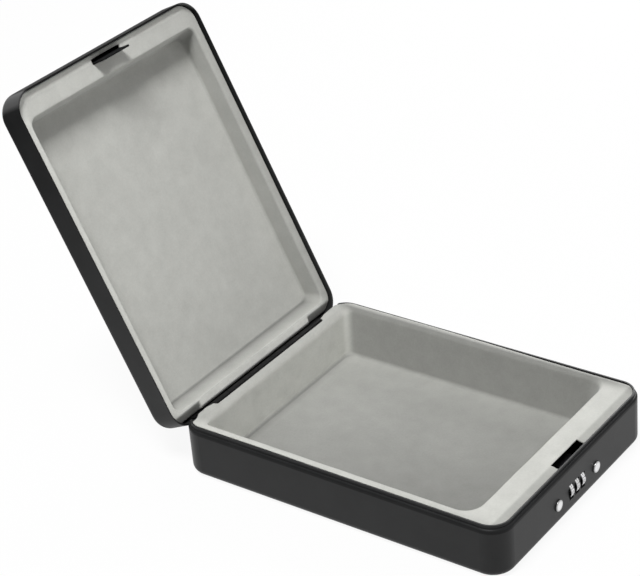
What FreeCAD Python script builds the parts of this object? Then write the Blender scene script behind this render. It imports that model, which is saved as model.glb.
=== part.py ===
import FreeCAD, Part
import math
import os

# Slim combination lock box, lid open on its rear hinge.
# Millimetres, +Z up, front with the lock faces -Y, hinge at +Y, origin under the middle of the base.

# Driving sizes of the shells
BOX_WIDTH = 180.0
BOX_LENGTH = 240.0
BASE_HEIGHT = 34.8
LID_HEIGHT = 19.8
SHEET = 1.2
CORNER_RADIUS = 15.0
EDGE_RADIUS = 5.0
LIP_HEIGHT = 2.4
LIP_ROOM = 0.55
LIP_THICKNESS = 1.0

# Driving sizes of the hinge
HINGE_INSET = 2.0
HINGE_DROP = 3.0
SEAM_GAP = 0.18
BARREL_RADIUS = 2.2
PIN_RADIUS = 1.2
BARREL_END_ROOM = 18.0
KNUCKLES = 9
KNUCKLE_GAP = 0.3
LEAF_THICKNESS = 1.0
LEAF_REACH = 9.0
PIN_OVERHANG = 0.8

# Driving sizes of the liners
LINER_WALL = 1.6
BASE_LINER_SIDE_LIP = 9.0
BASE_LINER_BACK_LIP = 13.0
BARREL_CUT_BACK = 4.2
BASE_LUG_SET_BACK = 1.8
BASE_LINER_LUG_WIDTH = 30.0
BASE_FLOOR_SIDE_LEAN = 4.0
BASE_FLOOR_FRONT_LEAN = 6.0
BASE_FLOOR_BACK_LEAN = 2.0
BASE_CAVITY_FRONT_RADIUS = 12.0
BASE_CAVITY_BACK_RADIUS = 6.0
LIP_SLOPE_START = 9.0
LIP_SLOPE_DROP = 1.8
LINER_GAP = 0.5
LID_LINER_SIDE_LIP = 8.2
LID_LINER_FRONT_LIP = 18.2
LID_LINER_BACK_LIP = 10.5
LID_LINER_SET_BACK = 2.6
LID_FLAP_ROOM = 0.3
LID_FLAP_DROP = 2.8
LID_FLOOR_SIDE_LEAN = 0.6
LID_FLOOR_FRONT_LEAN = 4.0
LID_FLOOR_BACK_LEAN = 4.0
LID_CAVITY_RADIUS = 6.0
BASE_FLOOR_FILLET = 2.4
LID_FLOOR_FILLET = 1.8
MOUTH_ROUNDING = 1.4

# Driving sizes of the lock
LOCK_HEIGHT = 15.0
DIAL_RADIUS = 7.0
DIAL_PROUD = 1.2
DIAL_WIDTH = 4.4
DIAL_PITCH = 7.1
DIAL_DIGITS = 10
DIAL_FLUTE_RADIUS = 0.7
DIAL_FLUTE_SINK = 0.25
CAM_ROOM = 0.4
CAM_CUT = 1.1
CAM_THICKNESS = 1.8
SPINDLE_RADIUS = 1.5
CLIP_RADIUS = 3.0
CLIP_THICKNESS = 0.6
FRAME_SHEET = 1.4
WEB_DROP = 3.2
CHEEK_GAP = 2.2
BUTTON_SPACING = 46.8
BUTTON_RADIUS = 3.8
BUTTON_PROUD = 1.3
BUTTON_DOME = 0.5
BUTTON_COLLAR_RADIUS = 4.4
BUTTON_COLLAR = 1.0
BUTTON_STEM_RADIUS = 2.4
BUTTON_TAIL_RADIUS = 1.5
BUTTON_TRAVEL = 2.0
PLATE_SHEET = 1.2
PLATE_MARGIN = 5.0
PLATE_FOOT = 5.5
TONGUE_HALF_WIDTH = 8.0
RISER_MARGIN = 1.0
FINGER_WIDTH = 1.2
FINGER_SHEET = 0.8
FINGER_BAR = 1.2
COVER_SHEET = 1.2
COVER_GAP = 1.6
COVER_HALF_HEIGHT = 7.0
COVER_FOOT = 7.0
SPRING_ROOM = 5.2
SPRING_WIRE = 0.3
SPRING_RADIUS = 2.5
SPRING_TURNS = 3
GAP_SAMPLES = 40
STUD_RADIUS = 1.25
STUD_LENGTH = 5.0
FRAME_STUD_RISE = 8.6
NUT_RADIUS = 2.9
NUT_THICKNESS = 2.0
NUT_SIDES = 6
DETENT_SHEET = 0.4
DETENT_HALF_WIDTH = 1.6

# Driving sizes of the hook
HOOK_HALF_WIDTH = 13.5
HOOK_SET_BACK = 6.6
HOOK_SHEET = 1.2
HOOK_REACH = 8.0
HOOK_STRAP = 2.2
HOOK_FOOT = 4.6
HOOK_WINDOW_HEIGHT = 2.4
HOOK_TIP_RADIUS = 2.5
SLOT_SIDE_ROOM = 2.5
SLOT_FRONT_ROOM = 3.7
SLOT_BACK_ROOM = 0.9
LID_SLOT_ROOM = 2.4

# Named clearances
SEAT_CLEARANCE = 0.15
RUN_CLEARANCE = 0.3
PIN_CLEARANCE = 0.05
STOP_CLEARANCE = 0.05
PLATE_CLEARANCE = 0.6
RELEASE_CLEARANCE = 0.4
LOCK_ROOM = 1.0
CUT_MARGIN = 1.0
TOLERANCE = 1e-6

# Worked-out places
HALF_WIDTH = BOX_WIDTH / 2
HALF_LENGTH = BOX_LENGTH / 2
LIP_INSET = SHEET + LIP_ROOM
SHOULDER_RADIUS = LIP_INSET - SEAT_CLEARANCE
STOP_RISE = HINGE_DROP + SEAM_GAP
AXIS_Y = HALF_LENGTH - HINGE_INSET
BARREL_LENGTH = BOX_WIDTH - 2 * BARREL_END_ROOM
AXIS_Z = BASE_HEIGHT - HINGE_DROP
LID_RIM_Z = AXIS_Z + STOP_RISE
LID_TOP_Z = LID_RIM_Z + LID_HEIGHT
ROOF_Z = LID_TOP_Z - SHEET
NOTCH_Z = AXIS_Z - STOP_RISE - STOP_CLEARANCE
OPEN_ANGLE = 2 * math.degrees(math.atan(STOP_RISE / HINGE_INSET))
BASE_RIM_Z = BASE_HEIGHT + LIP_HEIGHT
LID_LINER_Z = BASE_RIM_Z + LINER_GAP
BASE_LUG_Y = AXIS_Y - BASE_LUG_SET_BACK
LID_LINER_EDGE_Y = AXIS_Y - LID_LINER_SET_BACK
LID_FLAP_Y = HALF_LENGTH - LID_LINER_BACK_LIP + MOUTH_ROUNDING + LID_FLAP_ROOM
BASE_LINER_LUG_START = HALF_WIDTH - BASE_LINER_LUG_WIDTH
FRONT_INNER_Y = SHEET - HALF_LENGTH
BACK_INNER_Y = HALF_LENGTH - SHEET
DIAL_Y = DIAL_RADIUS - DIAL_PROUD - HALF_LENGTH
DIAL_XS = [-DIAL_PITCH, 0.0, DIAL_PITCH]
DIAL_CHORD = math.sqrt(DIAL_RADIUS ** 2 - (DIAL_RADIUS - DIAL_PROUD - SHEET) ** 2)
WINDOW_HALF_HEIGHT = DIAL_CHORD + RUN_CLEARANCE
CAM_OFFSET = DIAL_WIDTH / 2
CAM_RADIUS = DIAL_RADIUS - DIAL_PROUD - SHEET - CAM_ROOM
CAM_FLAT = CAM_RADIUS - CAM_CUT
LEFT_CHEEK_X = DIAL_XS[0] - DIAL_WIDTH / 2 - RUN_CLEARANCE
RIGHT_CHEEK_X = DIAL_XS[-1] + CAM_OFFSET + CAM_THICKNESS + RUN_CLEARANCE
FLANGE_BACK_Y = FRONT_INNER_Y + FRAME_SHEET
WEB_Z = LOCK_HEIGHT - DIAL_RADIUS - WEB_DROP
STUD_X = RIGHT_CHEEK_X + FRAME_SHEET + NUT_RADIUS + RUN_CLEARANCE
FLANGE_REACH = STUD_X + NUT_RADIUS
FLANGE_TOP_Z = LOCK_HEIGHT + FRAME_STUD_RISE + NUT_RADIUS
BUTTON_XS = [-BUTTON_SPACING / 2, BUTTON_SPACING / 2]
PLATE_Y = DIAL_Y + DIAL_RADIUS + PLATE_CLEARANCE
PLATE_BACK_Y = PLATE_Y + PLATE_SHEET
PLATE_HALF_WIDTH = BUTTON_SPACING / 2 + PLATE_MARGIN
CHEEK_BACK_Y = PLATE_Y - CHEEK_GAP
COVER_HALF_WIDTH = PLATE_HALF_WIDTH + COVER_GAP + COVER_SHEET
COVER_Y = PLATE_BACK_Y + SPRING_ROOM
COVER_BACK_Y = COVER_Y + COVER_SHEET
HOOK_FRONT_Y = HOOK_SET_BACK - HALF_LENGTH
HOOK_BACK_Y = HOOK_FRONT_Y + HOOK_SHEET
HOOK_TIP_Z = LID_RIM_Z - HOOK_REACH
WINDOW_Z = HOOK_TIP_Z + HOOK_STRAP
TONGUE_Z = WINDOW_Z + (HOOK_WINDOW_HEIGHT - PLATE_SHEET) / 2
TONGUE_TIP_Y = HOOK_BACK_Y - BUTTON_TRAVEL + RELEASE_CLEARANCE
FINGER_TIP_Z = LOCK_HEIGHT + CAM_FLAT + RUN_CLEARANCE
FINGER_BAR_Z = LOCK_HEIGHT + CAM_RADIUS + RUN_CLEARANCE
FINGER_REACH = math.sqrt(CAM_RADIUS ** 2 - (FINGER_TIP_Z - LOCK_HEIGHT) ** 2) + RUN_CLEARANCE
FINGER_TIP_Y = DIAL_Y - FINGER_REACH - FINGER_SHEET

X = FreeCAD.Vector(1, 0, 0)
Y = FreeCAD.Vector(0, 1, 0)
Z = FreeCAD.Vector(0, 0, 1)
HINGE_POINT = FreeCAD.Vector(0, AXIS_Y, AXIS_Z)


def box(x0, x1, y0, y1, z0, z1):
    return Part.makeBox(x1 - x0, y1 - y0, z1 - z0, FreeCAD.Vector(x0, y0, z0))


def rod_x(x0, x1, y, z, radius):
    return Part.makeCylinder(radius, x1 - x0, FreeCAD.Vector(x0, y, z), X)


def rod_y(x, y0, y1, z, radius):
    return Part.makeCylinder(radius, y1 - y0, FreeCAD.Vector(x, y0, z), Y)


def tube_x(x0, x1, y, z, radius, bore):
    return rod_x(x0, x1, y, z, radius).cut(rod_x(x0 - CUT_MARGIN, x1 + CUT_MARGIN, y, z, bore))


def extrude_x(points, x0, x1):
    """Closed outline of (y, z) points swept from x0 to x1."""
    corners = [FreeCAD.Vector(x0, y, z) for y, z in points]
    return Part.Face(Part.makePolygon(corners + corners[:1])).extrude(FreeCAD.Vector(x1 - x0, 0, 0))


def rounded_wire(x0, x1, y0, y1, front, back, z):
    """Rounded rectangle with its own front and back radius, drawn from straight sides and quarter arcs."""
    half = math.sqrt(0.5)
    edges = []
    corners = [(x1 - back, y1 - back, back, 0), (x0 + back, y1 - back, back, 90),
               (x0 + front, y0 + front, front, 180), (x1 - front, y0 + front, front, 270)]
    ends = []
    for cx, cy, radius, start in corners:
        turn = math.radians(start)
        first = FreeCAD.Vector(cx + radius * math.cos(turn), cy + radius * math.sin(turn), z)
        middle = FreeCAD.Vector(cx + radius * half * (math.cos(turn) - math.sin(turn)),
                                cy + radius * half * (math.cos(turn) + math.sin(turn)), z)
        last = FreeCAD.Vector(cx - radius * math.sin(turn), cy + radius * math.cos(turn), z)
        ends.append((first, middle, last))
    for index, (first, middle, last) in enumerate(ends):
        edges.append(Part.Arc(first, middle, last).toShape())
        edges.append(Part.LineSegment(last, ends[(index + 1) % len(ends)][0]).toShape())
    return Part.Wire(edges)


def rounded_prism(inset, z0, z1):
    """Upright block with the box's plan, drawn in from its outer face by inset."""
    wire = rounded_wire(inset - HALF_WIDTH, HALF_WIDTH - inset, inset - HALF_LENGTH, HALF_LENGTH - inset,
                        CORNER_RADIUS - inset, CORNER_RADIUS - inset, z0)
    return Part.Face(wire).extrude(FreeCAD.Vector(0, 0, z1 - z0))


def edges_at(shape, z):
    return [edge for edge in shape.Edges if all(abs(v.Z - z) < TOLERANCE for v in edge.Vertexes)]


def edges_within(shape, z, rect):
    """Level edges at height z that lie inside a rectangle."""
    x0, x1, y0, y1 = grown(rect, TOLERANCE)
    return [edge for edge in edges_at(shape, z)
            if all(x0 <= v.X <= x1 and y0 <= v.Y <= y1 for v in edge.Vertexes)]


def tub(top, floor, front, back, z_top, z_floor, fillet):
    """Drafted basin between a rounded rectangle at its mouth and another at its floor."""
    mouth = rounded_wire(*top, front, back, z_top)
    bottom = rounded_wire(*floor, front, back, z_floor)
    basin = Part.makeLoft([mouth, bottom], True, True)
    return basin.makeFillet(fillet, edges_at(basin, z_floor))


def grown(rect, amount):
    x0, x1, y0, y1 = rect
    return (x0 - amount, x1 + amount, y0 - amount, y1 + amount)


def to_open_pose(shape):
    """Lid pieces are drawn closed, then swung back to the open stop."""
    turned = shape.copy()
    turned.rotate(HINGE_POINT, X, -OPEN_ANGLE)
    return turned


def save(name, shape):
    shape.exportStep(os.path.join("parts", name + ".step"))


# Shells

def base_shell():
    wall = rounded_prism(0, 0, BASE_HEIGHT)
    wall = wall.makeFillet(EDGE_RADIUS, edges_at(wall, 0))
    wall = wall.makeFillet(SHOULDER_RADIUS, edges_at(wall, BASE_HEIGHT))
    lip = rounded_prism(LIP_INSET, BASE_HEIGHT - SHEET, BASE_RIM_Z)
    inside = rounded_prism(SHEET, SHEET, BASE_HEIGHT - SHEET)
    inside = inside.makeFillet(EDGE_RADIUS - SHEET, edges_at(inside, SHEET))
    mouth = rounded_prism(LIP_INSET + LIP_THICKNESS, BASE_HEIGHT - SHEET - CUT_MARGIN,
                          BASE_RIM_Z + CUT_MARGIN)
    shell = wall.fuse(lip).cut(inside).cut(mouth)
    # The lid's rear wall swings down through this gap, and its foot is the open stop.
    swing = math.sqrt(CORNER_RADIUS ** 2 - (CORNER_RADIUS - HINGE_INSET) ** 2)
    gap = HALF_WIDTH - CORNER_RADIUS + swing + CUT_MARGIN
    shell = shell.cut(box(-gap, gap, AXIS_Y - BARREL_RADIUS - PLATE_CLEARANCE, HALF_LENGTH + CUT_MARGIN,
                          NOTCH_Z, BASE_RIM_Z + CUT_MARGIN))
    for x in BUTTON_XS:
        shell = shell.cut(rod_y(x, -HALF_LENGTH - CUT_MARGIN, FRONT_INNER_Y + CUT_MARGIN, LOCK_HEIGHT,
                                BUTTON_RADIUS + SEAT_CLEARANCE))
    for x in DIAL_XS:
        half = DIAL_WIDTH / 2 + RUN_CLEARANCE
        shell = shell.cut(box(x - half, x + half, -HALF_LENGTH - CUT_MARGIN, FRONT_INNER_Y + CUT_MARGIN,
                              LOCK_HEIGHT - WINDOW_HALF_HEIGHT, LOCK_HEIGHT + WINDOW_HALF_HEIGHT))
    return shell.removeSplitter()


def lid_shell():
    wall = rounded_prism(0, LID_RIM_Z, LID_TOP_Z)
    wall = wall.makeFillet(EDGE_RADIUS, edges_at(wall, LID_TOP_Z))
    inside = rounded_prism(SHEET, LID_RIM_Z - CUT_MARGIN, ROOF_Z)
    inside = inside.makeFillet(EDGE_RADIUS - SHEET, edges_at(inside, ROOF_Z))
    return wall.cut(inside)


# Liners

def base_liner():
    edge = LIP_INSET + LIP_THICKNESS + SEAT_CLEARANCE
    lip = rounded_prism(edge, BASE_RIM_Z - LINER_WALL, BASE_RIM_Z)
    slope = [(-HALF_LENGTH, BASE_RIM_Z - LIP_SLOPE_DROP), (LIP_SLOPE_START - HALF_LENGTH, BASE_RIM_Z),
             (LIP_SLOPE_START - HALF_LENGTH, BASE_RIM_Z + CUT_MARGIN),
             (-HALF_LENGTH, BASE_RIM_Z + CUT_MARGIN)]
    skirt = rounded_prism(edge, BASE_RIM_Z - LIP_SLOPE_DROP - LINER_WALL, BASE_RIM_Z - LINER_WALL)
    front = box(-HALF_WIDTH, HALF_WIDTH, -HALF_LENGTH, LIP_SLOPE_START - HALF_LENGTH, 0, BASE_RIM_Z)
    lip = lip.fuse(skirt.common(front)).cut(extrude_x(slope, -HALF_WIDTH, HALF_WIDTH))
    mouth = (BASE_LINER_SIDE_LIP - HALF_WIDTH, HALF_WIDTH - BASE_LINER_SIDE_LIP,
             COVER_BACK_Y + LOCK_ROOM + LINER_WALL, HALF_LENGTH - BASE_LINER_BACK_LIP)
    floor = (mouth[0] + BASE_FLOOR_SIDE_LEAN, mouth[1] - BASE_FLOOR_SIDE_LEAN,
             mouth[2] + BASE_FLOOR_FRONT_LEAN, mouth[3] - BASE_FLOOR_BACK_LEAN)
    radii = (BASE_CAVITY_FRONT_RADIUS, BASE_CAVITY_BACK_RADIUS)
    outside = tub(grown(mouth, LINER_WALL), grown(floor, LINER_WALL), radii[0] + LINER_WALL,
                  radii[1] + LINER_WALL, BASE_RIM_Z - LINER_WALL, SHEET, BASE_FLOOR_FILLET + LINER_WALL)
    hollow = tub(mouth, floor, *radii, BASE_RIM_Z, SHEET + LINER_WALL, BASE_FLOOR_FILLET)
    through = Part.Face(rounded_wire(*mouth, *radii, BASE_RIM_Z)).extrude(Z * CUT_MARGIN)
    # The rear lip steps back from the hinge barrel, and two corner lugs stand beside its ends.
    step_y = AXIS_Y - BARREL_RADIUS - BARREL_CUT_BACK
    back = box(-BASE_LINER_LUG_START, BASE_LINER_LUG_START, step_y, HALF_LENGTH, 0, BASE_RIM_Z + CUT_MARGIN)
    lugs = box(-HALF_WIDTH, HALF_WIDTH, BASE_LUG_Y, HALF_LENGTH, 0, BASE_RIM_Z + CUT_MARGIN)
    slot_half = HOOK_HALF_WIDTH + SLOT_SIDE_ROOM
    slot = box(-slot_half, slot_half, HOOK_FRONT_Y - SLOT_FRONT_ROOM, HOOK_BACK_Y + SLOT_BACK_ROOM,
               BASE_RIM_Z - LIP_SLOPE_DROP - LINER_WALL - CUT_MARGIN, BASE_RIM_Z + CUT_MARGIN)
    liner = lip.fuse(outside).cut(hollow).cut(through).removeSplitter()
    liner = liner.makeFillet(MOUTH_ROUNDING, edges_within(liner, BASE_RIM_Z, mouth))
    return liner.cut(back).cut(lugs).cut(slot).removeSplitter()


def lid_liner():
    edge = SHEET + RUN_CLEARANCE
    lip = rounded_prism(edge, LID_LINER_Z, LID_LINER_Z + LINER_WALL)
    mouth = (LID_LINER_SIDE_LIP - HALF_WIDTH, HALF_WIDTH - LID_LINER_SIDE_LIP,
             LID_LINER_FRONT_LIP - HALF_LENGTH, HALF_LENGTH - LID_LINER_BACK_LIP)
    floor = (mouth[0] + LID_FLOOR_SIDE_LEAN, mouth[1] - LID_FLOOR_SIDE_LEAN,
             mouth[2] + LID_FLOOR_FRONT_LEAN, mouth[3] - LID_FLOOR_BACK_LEAN)
    outside = tub(grown(mouth, LINER_WALL), grown(floor, LINER_WALL), LID_CAVITY_RADIUS + LINER_WALL,
                  LID_CAVITY_RADIUS + LINER_WALL, LID_LINER_Z + LINER_WALL, ROOF_Z,
                  LID_FLOOR_FILLET + LINER_WALL)
    hollow = tub(mouth, floor, LID_CAVITY_RADIUS, LID_CAVITY_RADIUS, LID_LINER_Z, ROOF_Z - LINER_WALL,
                 LID_FLOOR_FILLET)
    radii = (LID_CAVITY_RADIUS, LID_CAVITY_RADIUS)
    through = Part.Face(rounded_wire(*mouth, *radii, LID_LINER_Z)).extrude(Z * -CUT_MARGIN)
    above = LID_LINER_Z + LINER_WALL + CUT_MARGIN
    back = box(-HALF_WIDTH, HALF_WIDTH, LID_LINER_EDGE_Y, HALF_LENGTH, LID_RIM_Z, above)
    slot_half = HOOK_HALF_WIDTH + RUN_CLEARANCE
    slot = box(-slot_half, slot_half, HOOK_FRONT_Y - LID_SLOT_ROOM, HOOK_BACK_Y + RUN_CLEARANCE,
               LID_RIM_Z, above)
    liner = lip.fuse(outside).cut(hollow).cut(through).removeSplitter()
    liner = liner.makeFillet(MOUTH_ROUNDING, edges_within(liner, LID_LINER_Z, mouth)).cut(back).cut(slot)
    # Over the base liner's lugs the rear lip is bent in towards the roof.
    bend = [(LID_FLAP_Y, LID_LINER_Z), (LID_LINER_EDGE_Y, LID_LINER_Z + LID_FLAP_DROP),
            (LID_LINER_EDGE_Y, LID_LINER_Z + LID_FLAP_DROP + LINER_WALL),
            (LID_FLAP_Y, LID_LINER_Z + LINER_WALL)]
    plan = rounded_prism(edge, LID_RIM_Z, ROOF_Z)
    for side in (-1, 1):
        near, far = sorted((side * BASE_LINER_LUG_START, side * HALF_WIDTH))
        flap = extrude_x(bend, near, far).common(plan)
        liner = liner.cut(box(near, far, LID_FLAP_Y, HALF_LENGTH, LID_RIM_Z, above)).fuse(flap)
    return liner.removeSplitter()


# Hinge

def knuckle_spans(first):
    """X spans of every second knuckle, starting with knuckle number first."""
    length = BARREL_LENGTH / KNUCKLES
    starts = [-BARREL_LENGTH / 2 + index * length for index in range(first, KNUCKLES, 2)]
    return [(start + KNUCKLE_GAP / 2, start + length - KNUCKLE_GAP / 2) for start in starts]


def hinge_leaf(first, up):
    """One leaf: a strip on the inside of a rear wall with its rolled knuckles."""
    y0 = BACK_INNER_Y - LEAF_THICKNESS
    clear = BARREL_RADIUS + RUN_CLEARANCE
    near = STOP_RISE + RUN_CLEARANCE
    reach = near + LEAF_REACH
    half = BARREL_LENGTH / 2
    if up:
        leaf = box(-half, half, y0, BACK_INNER_Y, AXIS_Z + near, AXIS_Z + reach)
    else:
        leaf = box(-half, half, y0, BACK_INNER_Y, AXIS_Z - reach, AXIS_Z - near)
    for x0, x1 in knuckle_spans(first):
        leaf = leaf.fuse(rod_x(x0, x1, AXIS_Y, AXIS_Z, BARREL_RADIUS))
        neck_z = (AXIS_Z, AXIS_Z + reach) if up else (AXIS_Z - reach, AXIS_Z)
        leaf = leaf.fuse(box(x0, x1, y0, BACK_INNER_Y, *neck_z))
    for x0, x1 in knuckle_spans(1 - first):
        leaf = leaf.cut(rod_x(x0 - KNUCKLE_GAP, x1 + KNUCKLE_GAP, AXIS_Y, AXIS_Z, clear))
    return leaf.cut(rod_x(-half, half, AXIS_Y, AXIS_Z, PIN_RADIUS + PIN_CLEARANCE)).removeSplitter()


def hinge_pin():
    half = BARREL_LENGTH / 2 + PIN_OVERHANG
    return rod_x(-half, half, AXIS_Y, AXIS_Z, PIN_RADIUS)


# Hook on the lid

def lid_hook():
    plate = box(-HOOK_HALF_WIDTH, HOOK_HALF_WIDTH, HOOK_FRONT_Y, HOOK_BACK_Y, HOOK_TIP_Z, ROOF_Z)
    plate = plate.makeFillet(HOOK_TIP_RADIUS, edges_at_tip(plate))
    foot = box(-HOOK_HALF_WIDTH, HOOK_HALF_WIDTH, HOOK_FRONT_Y, HOOK_BACK_Y + HOOK_FOOT,
               ROOF_Z - HOOK_SHEET, ROOF_Z)
    half = TONGUE_HALF_WIDTH + RUN_CLEARANCE
    window = box(-half, half, HOOK_FRONT_Y - CUT_MARGIN, HOOK_BACK_Y + CUT_MARGIN, WINDOW_Z,
                 WINDOW_Z + HOOK_WINDOW_HEIGHT)
    return plate.fuse(foot).cut(window).removeSplitter()


def edges_at_tip(plate):
    """The two short edges across the sheet at the hook's lower corners."""
    return [edge for edge in edges_at(plate, HOOK_TIP_Z)
            if abs(edge.Vertexes[0].X - edge.Vertexes[1].X) < TOLERANCE]


# Lock

def dial_wheel(x):
    wheel = rod_x(x - DIAL_WIDTH / 2, x + DIAL_WIDTH / 2, DIAL_Y, LOCK_HEIGHT, DIAL_RADIUS)
    step = 360.0 / DIAL_DIGITS
    reach = DIAL_RADIUS + DIAL_FLUTE_RADIUS - DIAL_FLUTE_SINK
    for digit in range(DIAL_DIGITS):
        angle = math.radians(step * (digit + 0.5))
        y = DIAL_Y - reach * math.cos(angle)
        z = LOCK_HEIGHT + reach * math.sin(angle)
        wheel = wheel.cut(rod_x(x - DIAL_WIDTH, x + DIAL_WIDTH, y, z, DIAL_FLUTE_RADIUS))
    bore = SPINDLE_RADIUS + PIN_CLEARANCE
    return wheel.cut(rod_x(x - DIAL_WIDTH, x + DIAL_WIDTH, DIAL_Y, LOCK_HEIGHT, bore))


def dial_cam(x):
    """Disc beside a wheel, flat where the release fingers pass."""
    x0 = x + CAM_OFFSET
    x1 = x0 + CAM_THICKNESS
    disc = tube_x(x0, x1, DIAL_Y, LOCK_HEIGHT, CAM_RADIUS, SPINDLE_RADIUS + PIN_CLEARANCE)
    return disc.common(box(x0, x1, DIAL_Y - CAM_RADIUS, DIAL_Y + CAM_RADIUS,
                           LOCK_HEIGHT - CAM_FLAT, LOCK_HEIGHT + CAM_FLAT))


def spindle_ends():
    over = RUN_CLEARANCE + 2 * CLIP_THICKNESS
    return LEFT_CHEEK_X - FRAME_SHEET - over, RIGHT_CHEEK_X + FRAME_SHEET + over


def dial_spindle():
    x0, x1 = spindle_ends()
    return rod_x(x0, x1, DIAL_Y, LOCK_HEIGHT, SPINDLE_RADIUS)


def spindle_clips():
    """Two retaining rings outside the frame's cheeks."""
    left = LEFT_CHEEK_X - FRAME_SHEET
    right = RIGHT_CHEEK_X + FRAME_SHEET
    bore = SPINDLE_RADIUS + PIN_CLEARANCE
    return Part.makeCompound([
        tube_x(left - CLIP_THICKNESS, left, DIAL_Y, LOCK_HEIGHT, CLIP_RADIUS, bore),
        tube_x(right, right + CLIP_THICKNESS, DIAL_Y, LOCK_HEIGHT, CLIP_RADIUS, bore)])


def frame_stud_places():
    return [(side * STUD_X, LOCK_HEIGHT + rise) for side in (-1, 1)
            for rise in (-FRAME_STUD_RISE, FRAME_STUD_RISE)]


def cover_stud_places():
    offset = COVER_HALF_WIDTH + COVER_FOOT / 2
    return [(-offset, LOCK_HEIGHT), (offset, LOCK_HEIGHT)]


def lock_frame():
    """Folded cradle: two cheeks for the spindle, a web below the wheels, flanges on the front wall."""
    top = LOCK_HEIGHT + DIAL_RADIUS
    left = LEFT_CHEEK_X - FRAME_SHEET
    right = RIGHT_CHEEK_X + FRAME_SHEET
    frame = box(left, LEFT_CHEEK_X, FRONT_INNER_Y, CHEEK_BACK_Y, WEB_Z, top)
    frame = frame.fuse(box(RIGHT_CHEEK_X, right, FRONT_INNER_Y, CHEEK_BACK_Y, WEB_Z, top))
    frame = frame.fuse(box(left, right, FRONT_INNER_Y, CHEEK_BACK_Y, WEB_Z, WEB_Z + FRAME_SHEET))
    frame = frame.fuse(box(-FLANGE_REACH, LEFT_CHEEK_X, FRONT_INNER_Y, FLANGE_BACK_Y, WEB_Z,
                           FLANGE_TOP_Z))
    frame = frame.fuse(box(RIGHT_CHEEK_X, FLANGE_REACH, FRONT_INNER_Y, FLANGE_BACK_Y, WEB_Z,
                           FLANGE_TOP_Z))
    frame = frame.cut(rod_x(left - CUT_MARGIN, right + CUT_MARGIN, DIAL_Y, LOCK_HEIGHT,
                            SPINDLE_RADIUS + PIN_CLEARANCE))
    # The front foot of the cradle is relieved over the base's rounded bottom edge.
    frame = frame.cut(box(-FLANGE_REACH, FLANGE_REACH, FRONT_INNER_Y,
                          EDGE_RADIUS + SEAT_CLEARANCE - HALF_LENGTH, SHEET, EDGE_RADIUS + SEAT_CLEARANCE))
    for x, z in frame_stud_places():
        frame = frame.cut(rod_y(x, FRONT_INNER_Y, FLANGE_BACK_Y, z, STUD_RADIUS + SEAT_CLEARANCE))
    for x in BUTTON_XS:
        frame = frame.cut(rod_y(x, FRONT_INNER_Y, FLANGE_BACK_Y, LOCK_HEIGHT,
                                BUTTON_COLLAR_RADIUS + RUN_CLEARANCE))
    return frame.removeSplitter()


def lock_cover():
    """Bridge behind the release plate: it backs the springs and guides the button tails."""
    low = LOCK_HEIGHT - COVER_HALF_HEIGHT
    high = LOCK_HEIGHT + COVER_HALF_HEIGHT
    cover = box(-COVER_HALF_WIDTH, COVER_HALF_WIDTH, COVER_Y, COVER_BACK_Y, low, high)
    for side in (-1, 1):
        near, far = sorted((side * (COVER_HALF_WIDTH - COVER_SHEET), side * COVER_HALF_WIDTH))
        cover = cover.fuse(box(near, far, FRONT_INNER_Y, COVER_BACK_Y, low, high))
        near, far = sorted((side * COVER_HALF_WIDTH, side * (COVER_HALF_WIDTH + COVER_FOOT)))
        cover = cover.fuse(box(near, far, FRONT_INNER_Y, FRONT_INNER_Y + FRAME_SHEET, low, high))
    for x in BUTTON_XS:
        cover = cover.cut(rod_y(x, COVER_Y - CUT_MARGIN, COVER_BACK_Y + CUT_MARGIN, LOCK_HEIGHT,
                                BUTTON_TAIL_RADIUS + SEAT_CLEARANCE))
    for x, z in cover_stud_places():
        cover = cover.cut(rod_y(x, FRONT_INNER_Y, FLANGE_BACK_Y, z, STUD_RADIUS + SEAT_CLEARANCE))
    return cover.removeSplitter()


def lock_studs():
    """Weld studs on the inside of the front wall."""
    return Part.makeCompound([rod_y(x, FRONT_INNER_Y, FRONT_INNER_Y + STUD_LENGTH, z, STUD_RADIUS)
                              for x, z in frame_stud_places() + cover_stud_places()])


def lock_nuts():
    """Hexagon nuts that hold the frame and the cover on the studs."""
    nuts = []
    for x, z in frame_stud_places() + cover_stud_places():
        turns = [2 * math.pi * side / NUT_SIDES for side in range(NUT_SIDES + 1)]
        corners = [FreeCAD.Vector(x + NUT_RADIUS * math.sin(t), FLANGE_BACK_Y, z + NUT_RADIUS * math.cos(t))
                   for t in turns]
        nut = Part.Face(Part.makePolygon(corners)).extrude(Y * NUT_THICKNESS)
        thread = rod_y(x, FLANGE_BACK_Y, FLANGE_BACK_Y + NUT_THICKNESS, z, STUD_RADIUS + PIN_CLEARANCE)
        nuts.append(nut.cut(thread))
    return Part.makeCompound(nuts)


def detent_spring():
    """Leaf on the frame's web with one tongue under each wheel."""
    seat = WEB_Z + FRAME_SHEET
    tip = LOCK_HEIGHT - DIAL_RADIUS - RUN_CLEARANCE
    root = DIAL_Y + DIAL_RADIUS / 2
    spring = box(LEFT_CHEEK_X + RUN_CLEARANCE, RIGHT_CHEEK_X - RUN_CLEARANCE, root - DETENT_SHEET,
                 CHEEK_BACK_Y, seat, seat + DETENT_SHEET)
    for x in DIAL_XS:
        tongue = [(root, seat), (root, seat + DETENT_SHEET), (DIAL_Y, tip), (DIAL_Y, tip - DETENT_SHEET)]
        spring = spring.fuse(extrude_x(tongue, x - DETENT_HALF_WIDTH, x + DETENT_HALF_WIDTH))
    return spring.removeSplitter()


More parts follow.
